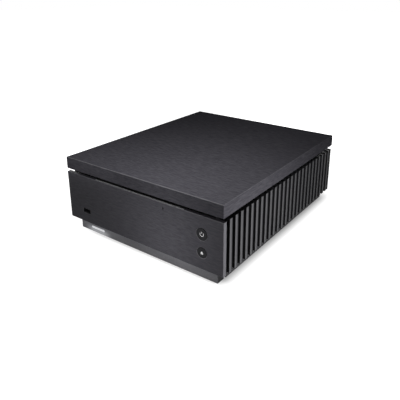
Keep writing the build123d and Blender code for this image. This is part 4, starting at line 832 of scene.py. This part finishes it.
footPlan = {"x": (-85.0, 85.0), "y": 85.0, "radius": 11.0, "edge": 1.5, "edgeSteps": 7, "spokes": 72,
            "side": ((0.0, 13.5), (10.5, 13.5), (11.0, 13.0), (11.0, 10.5), (10.4, 10.1), (10.4, 9.1), (11.0, 8.7)),
            "under": ((7.4, 0.0), (6.8, 0.5), (3.4, 0.5), (3.0, 0.9), (0.0, 0.9))}


def panScrew(plan, place, reach):
    # from the shank's end to the seat, over the domed head and down into its hexagon socket
    body = ((0.0, -reach), (plan["shank"], -reach), (plan["shank"], 0.0)) + plan["head"]
    bore = flats(plan["key"], 6)
    rings = [circle(radius) for radius, height in body] + [bore * share for share, height in plan["socket"]]
    return stacked(rings, [height for size, height in body + plan["socket"]], place, "rear")


def tieBolt(plan, place):
    # from the socket's floor out to the flat head, back along its cone and up the shank
    bore = flats(plan["key"], 6)
    rings = [bore * share for share, height in plan["socket"]] + [circle(radius) for radius, height in plan["head"]]
    return stacked(rings, [height for size, height in plan["socket"] + plan["head"]], place, "down")


def rearFoot(plan, place):
    # a turned puck: flat top, one groove, lower edge rounded by a quarter arc, shallow ring under it
    bend = np.linspace(0, np.pi / 2, plan["edgeSteps"])
    edge = np.stack([plan["radius"] - plan["edge"] * (1 - np.cos(bend)), plan["edge"] * (1 - np.sin(bend))], -1)
    return turned(np.concatenate([plan["side"], edge, plan["under"]]), place, "up", plan["spokes"])


caseScrews = [panScrew(screwPlan, (x, row["y"], z), row["reach"])
              for row in screwPlan["rows"].values() for x in row["x"] for z in row["z"]]
tieBolts = [tieBolt(tiePlan, (x, y, tiePlan["z"])) for x in tiePlan["x"] for y in tiePlan["y"]]
rearFeet = [rearFoot(footPlan, (x, footPlan["y"], 0.0)) for x in footPlan["x"]]
addPiece("caseScrews", caseScrews, finishes["screw_steel"], "chassis", ["case_screws"])
addPiece("tieBolts", tieBolts, finishes["screw_steel"], "chassis", ["tie_bolts"])
addPiece("rearFeet", rearFeet, finishes["black_rubber"], "chassis", ["rear_feet"])
print("screws and feet ready")


# Sockets: contacts, liners, rims and marks

usbPlan = {"front": {"x": -91.0, "z": 32.3, "tip": -140.4, "way": 1},
           "rear": {"x": 52.6, "z": 28.5, "tip": 110.6, "way": -1},
           "spread": (-3.5, -1.0, 1.0, 3.5), "width": 1.0, "thick": 0.14, "start": 0.4, "long": 8.0, "steps": 12,
           "corner": 0.042, "level": 0.294, "tipRise": 0.1, "tipLong": 1.6}
networkPlan = {"x": 80.0, "z": 32.3, "mouth": 113.55, "floor": 99.7, "wall": 0.4, "outer": (5.87, 4.27, 0.3, 4),
               "inner": (5.5, 3.9, 0.25, 4)}
wirePlan = {"count": 8, "pitch": 1.02, "radius": 0.2, "spokes": 8, "steps": 16, "start": 0.6, "reach": 9.5,
            "turn": 0.62, "top": 3.55, "fall": 2.6, "bow": 1.4}
networkLamps = {"x": 4.9, "z": 37.9, "face": 113.6, "outline": (1.4, 0.75, 0.3, 4), "height": 0.15, "edge": 0.1}
phonoPlan = {"x": 20.76, "z": 33.6, "face": 124.0,  # profile of (radius, height)
             "profile": ((1.65, -0.3), (3.35, -0.3), (3.35, 0.06), (3.2, 0.15), (2.0, 0.15), (1.65, -0.02),
                         (1.65, -0.3))}
inletPlan = {"x": -66.0, "z": 36.0, "face": 115.5,  # half width, half height, corner and height of each outline
             "rings": ((12.05, 8.25, 2.6, -0.1), (13.7, 9.9, 3.6, -0.1), (13.55, 9.75, 3.5, 0.7),
                       (12.5, 8.7, 2.9, 0.7), (12.05, 8.25, 2.6, 0.3), (12.05, 8.25, 2.6, -0.1))}
rockerPlan = {"x": -66.0, "y": 111.0, "z": 64.0, "tilt": -9.0, "crown": (3.0, 4.9), "waist": 1.6, "height": 0.08,
              "edge": 0.03, "ring": 1.15, "stroke": 0.42, "spokes": 40, "bar": (0.24, 1.25, 0.1, 4)}


def makeUsbContacts(name, plan, socket):
    # four flat strips under the tongue, each a thin profile carried inwards, its tip bent up out of the way
    strip = roundRect(plan["width"] / 2, plan["thick"] / 2, plan["corner"], 3)
    deep = np.linspace(plan["start"], plan["long"], plan["steps"])
    bend = plan["tipRise"] * np.clip(1 - deep / plan["tipLong"], 0, 1) ** 2
    sheets = []
    for offset in plan["spread"]:
        x = np.full(plan["steps"], socket["x"] + offset)
        path = np.stack([x, socket["tip"] + socket["way"] * deep, socket["z"] + plan["level"] + bend], -1)
        sheets.append(carried(strip, path, (0, 0, 1)))
    addPiece(name, sheets, finishes["brass_plate"], "chassis")


def makeNetworkLiner(plan):
    # a thin tray: outer rectangle back to front, inner rectangle front to back, both closed at the floor
    outer, inner = roundRect(*plan["outer"]), roundRect(*plan["inner"])
    back = plan["floor"] - plan["mouth"]
    liner = stacked([outer * 0, outer, outer, inner, inner, inner * 0],
                    [back, back, 0, 0, back + plan["wall"], back + plan["wall"]],
                    (plan["x"], plan["mouth"], plan["z"]), "rear")
    addPiece("networkLiner", [liner], finishes["black_plastic"], "chassis")


def makeNetworkWires(plan, socket):
    # round wires carried from the floor forward and down, then back: start + reach * sin(turn), fall * share ** bow
    share = np.linspace(0, 1, plan["steps"])
    y = socket["floor"] + plan["start"] + plan["reach"] * np.sin(share * np.pi * plan["turn"])
    z = socket["z"] + plan["top"] - plan["fall"] * share ** plan["bow"]
    wires = []
    for place in range(plan["count"]):
        x = np.full(plan["steps"], socket["x"] + (place - (plan["count"] - 1) / 2) * plan["pitch"])
        wires.append(carried(circle(plan["radius"], plan["spokes"]), np.stack([x, y, z], -1), (1, 0, 0)))
    addPiece("networkWires", wires, finishes["brass_plate"], "chassis")


def makeNetworkLamps(plan, socket):
    # two small rounded windows raised from the socket's face
    window = roundRect(*plan["outline"])
    for name, side, tint in (("networkLampLeft", 1, "greenLamp"), ("networkLampRight", -1, "amberLamp")):
        place = (socket["x"] + side * plan["x"], plan["face"], plan["z"])
        lamp = raised(window, plan["height"], plan["edge"], place, "rear")
        addPiece(name, [lamp], milkyLamp(tint, windowPlan), "chassis")


def makeInletRim(plan):
    # rounded rectangles stacked outwards: across the seat, up the outer wall, over the lip and down the inner wall
    rings = [roundRect(*ring[:3]) for ring in plan["rings"]]
    rim = stacked(rings, [ring[3] for ring in plan["rings"]], placed(plan), "rear")
    addPiece("inletRim", [rim], finishes["black_plastic"], "chassis")


def makeRockerMarks(plan):
    # a raised bar and a turned ring, each on a slanted half of the rocker; a mark's own axes follow that slant
    tilt = math.radians(plan["tilt"])
    turnBack = np.array([(math.cos(tilt), -math.sin(tilt)), (math.sin(tilt), math.cos(tilt))])
    places, faces = [], []
    for side in (1, -1):
        crown = turnBack @ np.array([plan["crown"][0], side * plan["crown"][1]])
        waist = turnBack @ np.array([plan["waist"], 0.0])
        middle = (crown + waist) / 2
        up = (crown - waist) * side
        up /= np.linalg.norm(up)
        places.append(np.array([plan["x"], plan["y"] + middle[0], plan["z"] + middle[1]]))
        faces.append(np.array([(0, up[1], -up[0]), (-1, 0, 0), (0, up[0], up[1])]))
    bar = raised(roundRect(*plan["bar"]), plan["height"], plan["edge"], places[0], faces[0])
    within, beyond = plan["ring"] - plan["stroke"] / 2, plan["ring"] + plan["stroke"] / 2
    profile = [(within, 0), (beyond, 0), (beyond, plan["height"]), (within, plan["height"]), (within, 0)]
    ring = turned(profile, places[1], faces[1], plan["spokes"])
    addPiece("rockerMarks", [bar, ring], paintFinish, "rocker")


makeUsbContacts("frontUsbContacts", usbPlan, usbPlan["front"])
makeUsbContacts("rearUsbContacts", usbPlan, usbPlan["rear"])
makeNetworkLiner(networkPlan)
makeNetworkWires(wirePlan, networkPlan)
makeNetworkLamps(networkLamps, networkPlan)
addPiece("phonoInsert", [turned(phonoPlan["profile"], placed(phonoPlan), "rear")],
         smoothPlastic("orangeRing", orangePlan), "chassis")
makeInletRim(inletPlan)
makeRockerMarks(rockerPlan)
print("sockets ready")
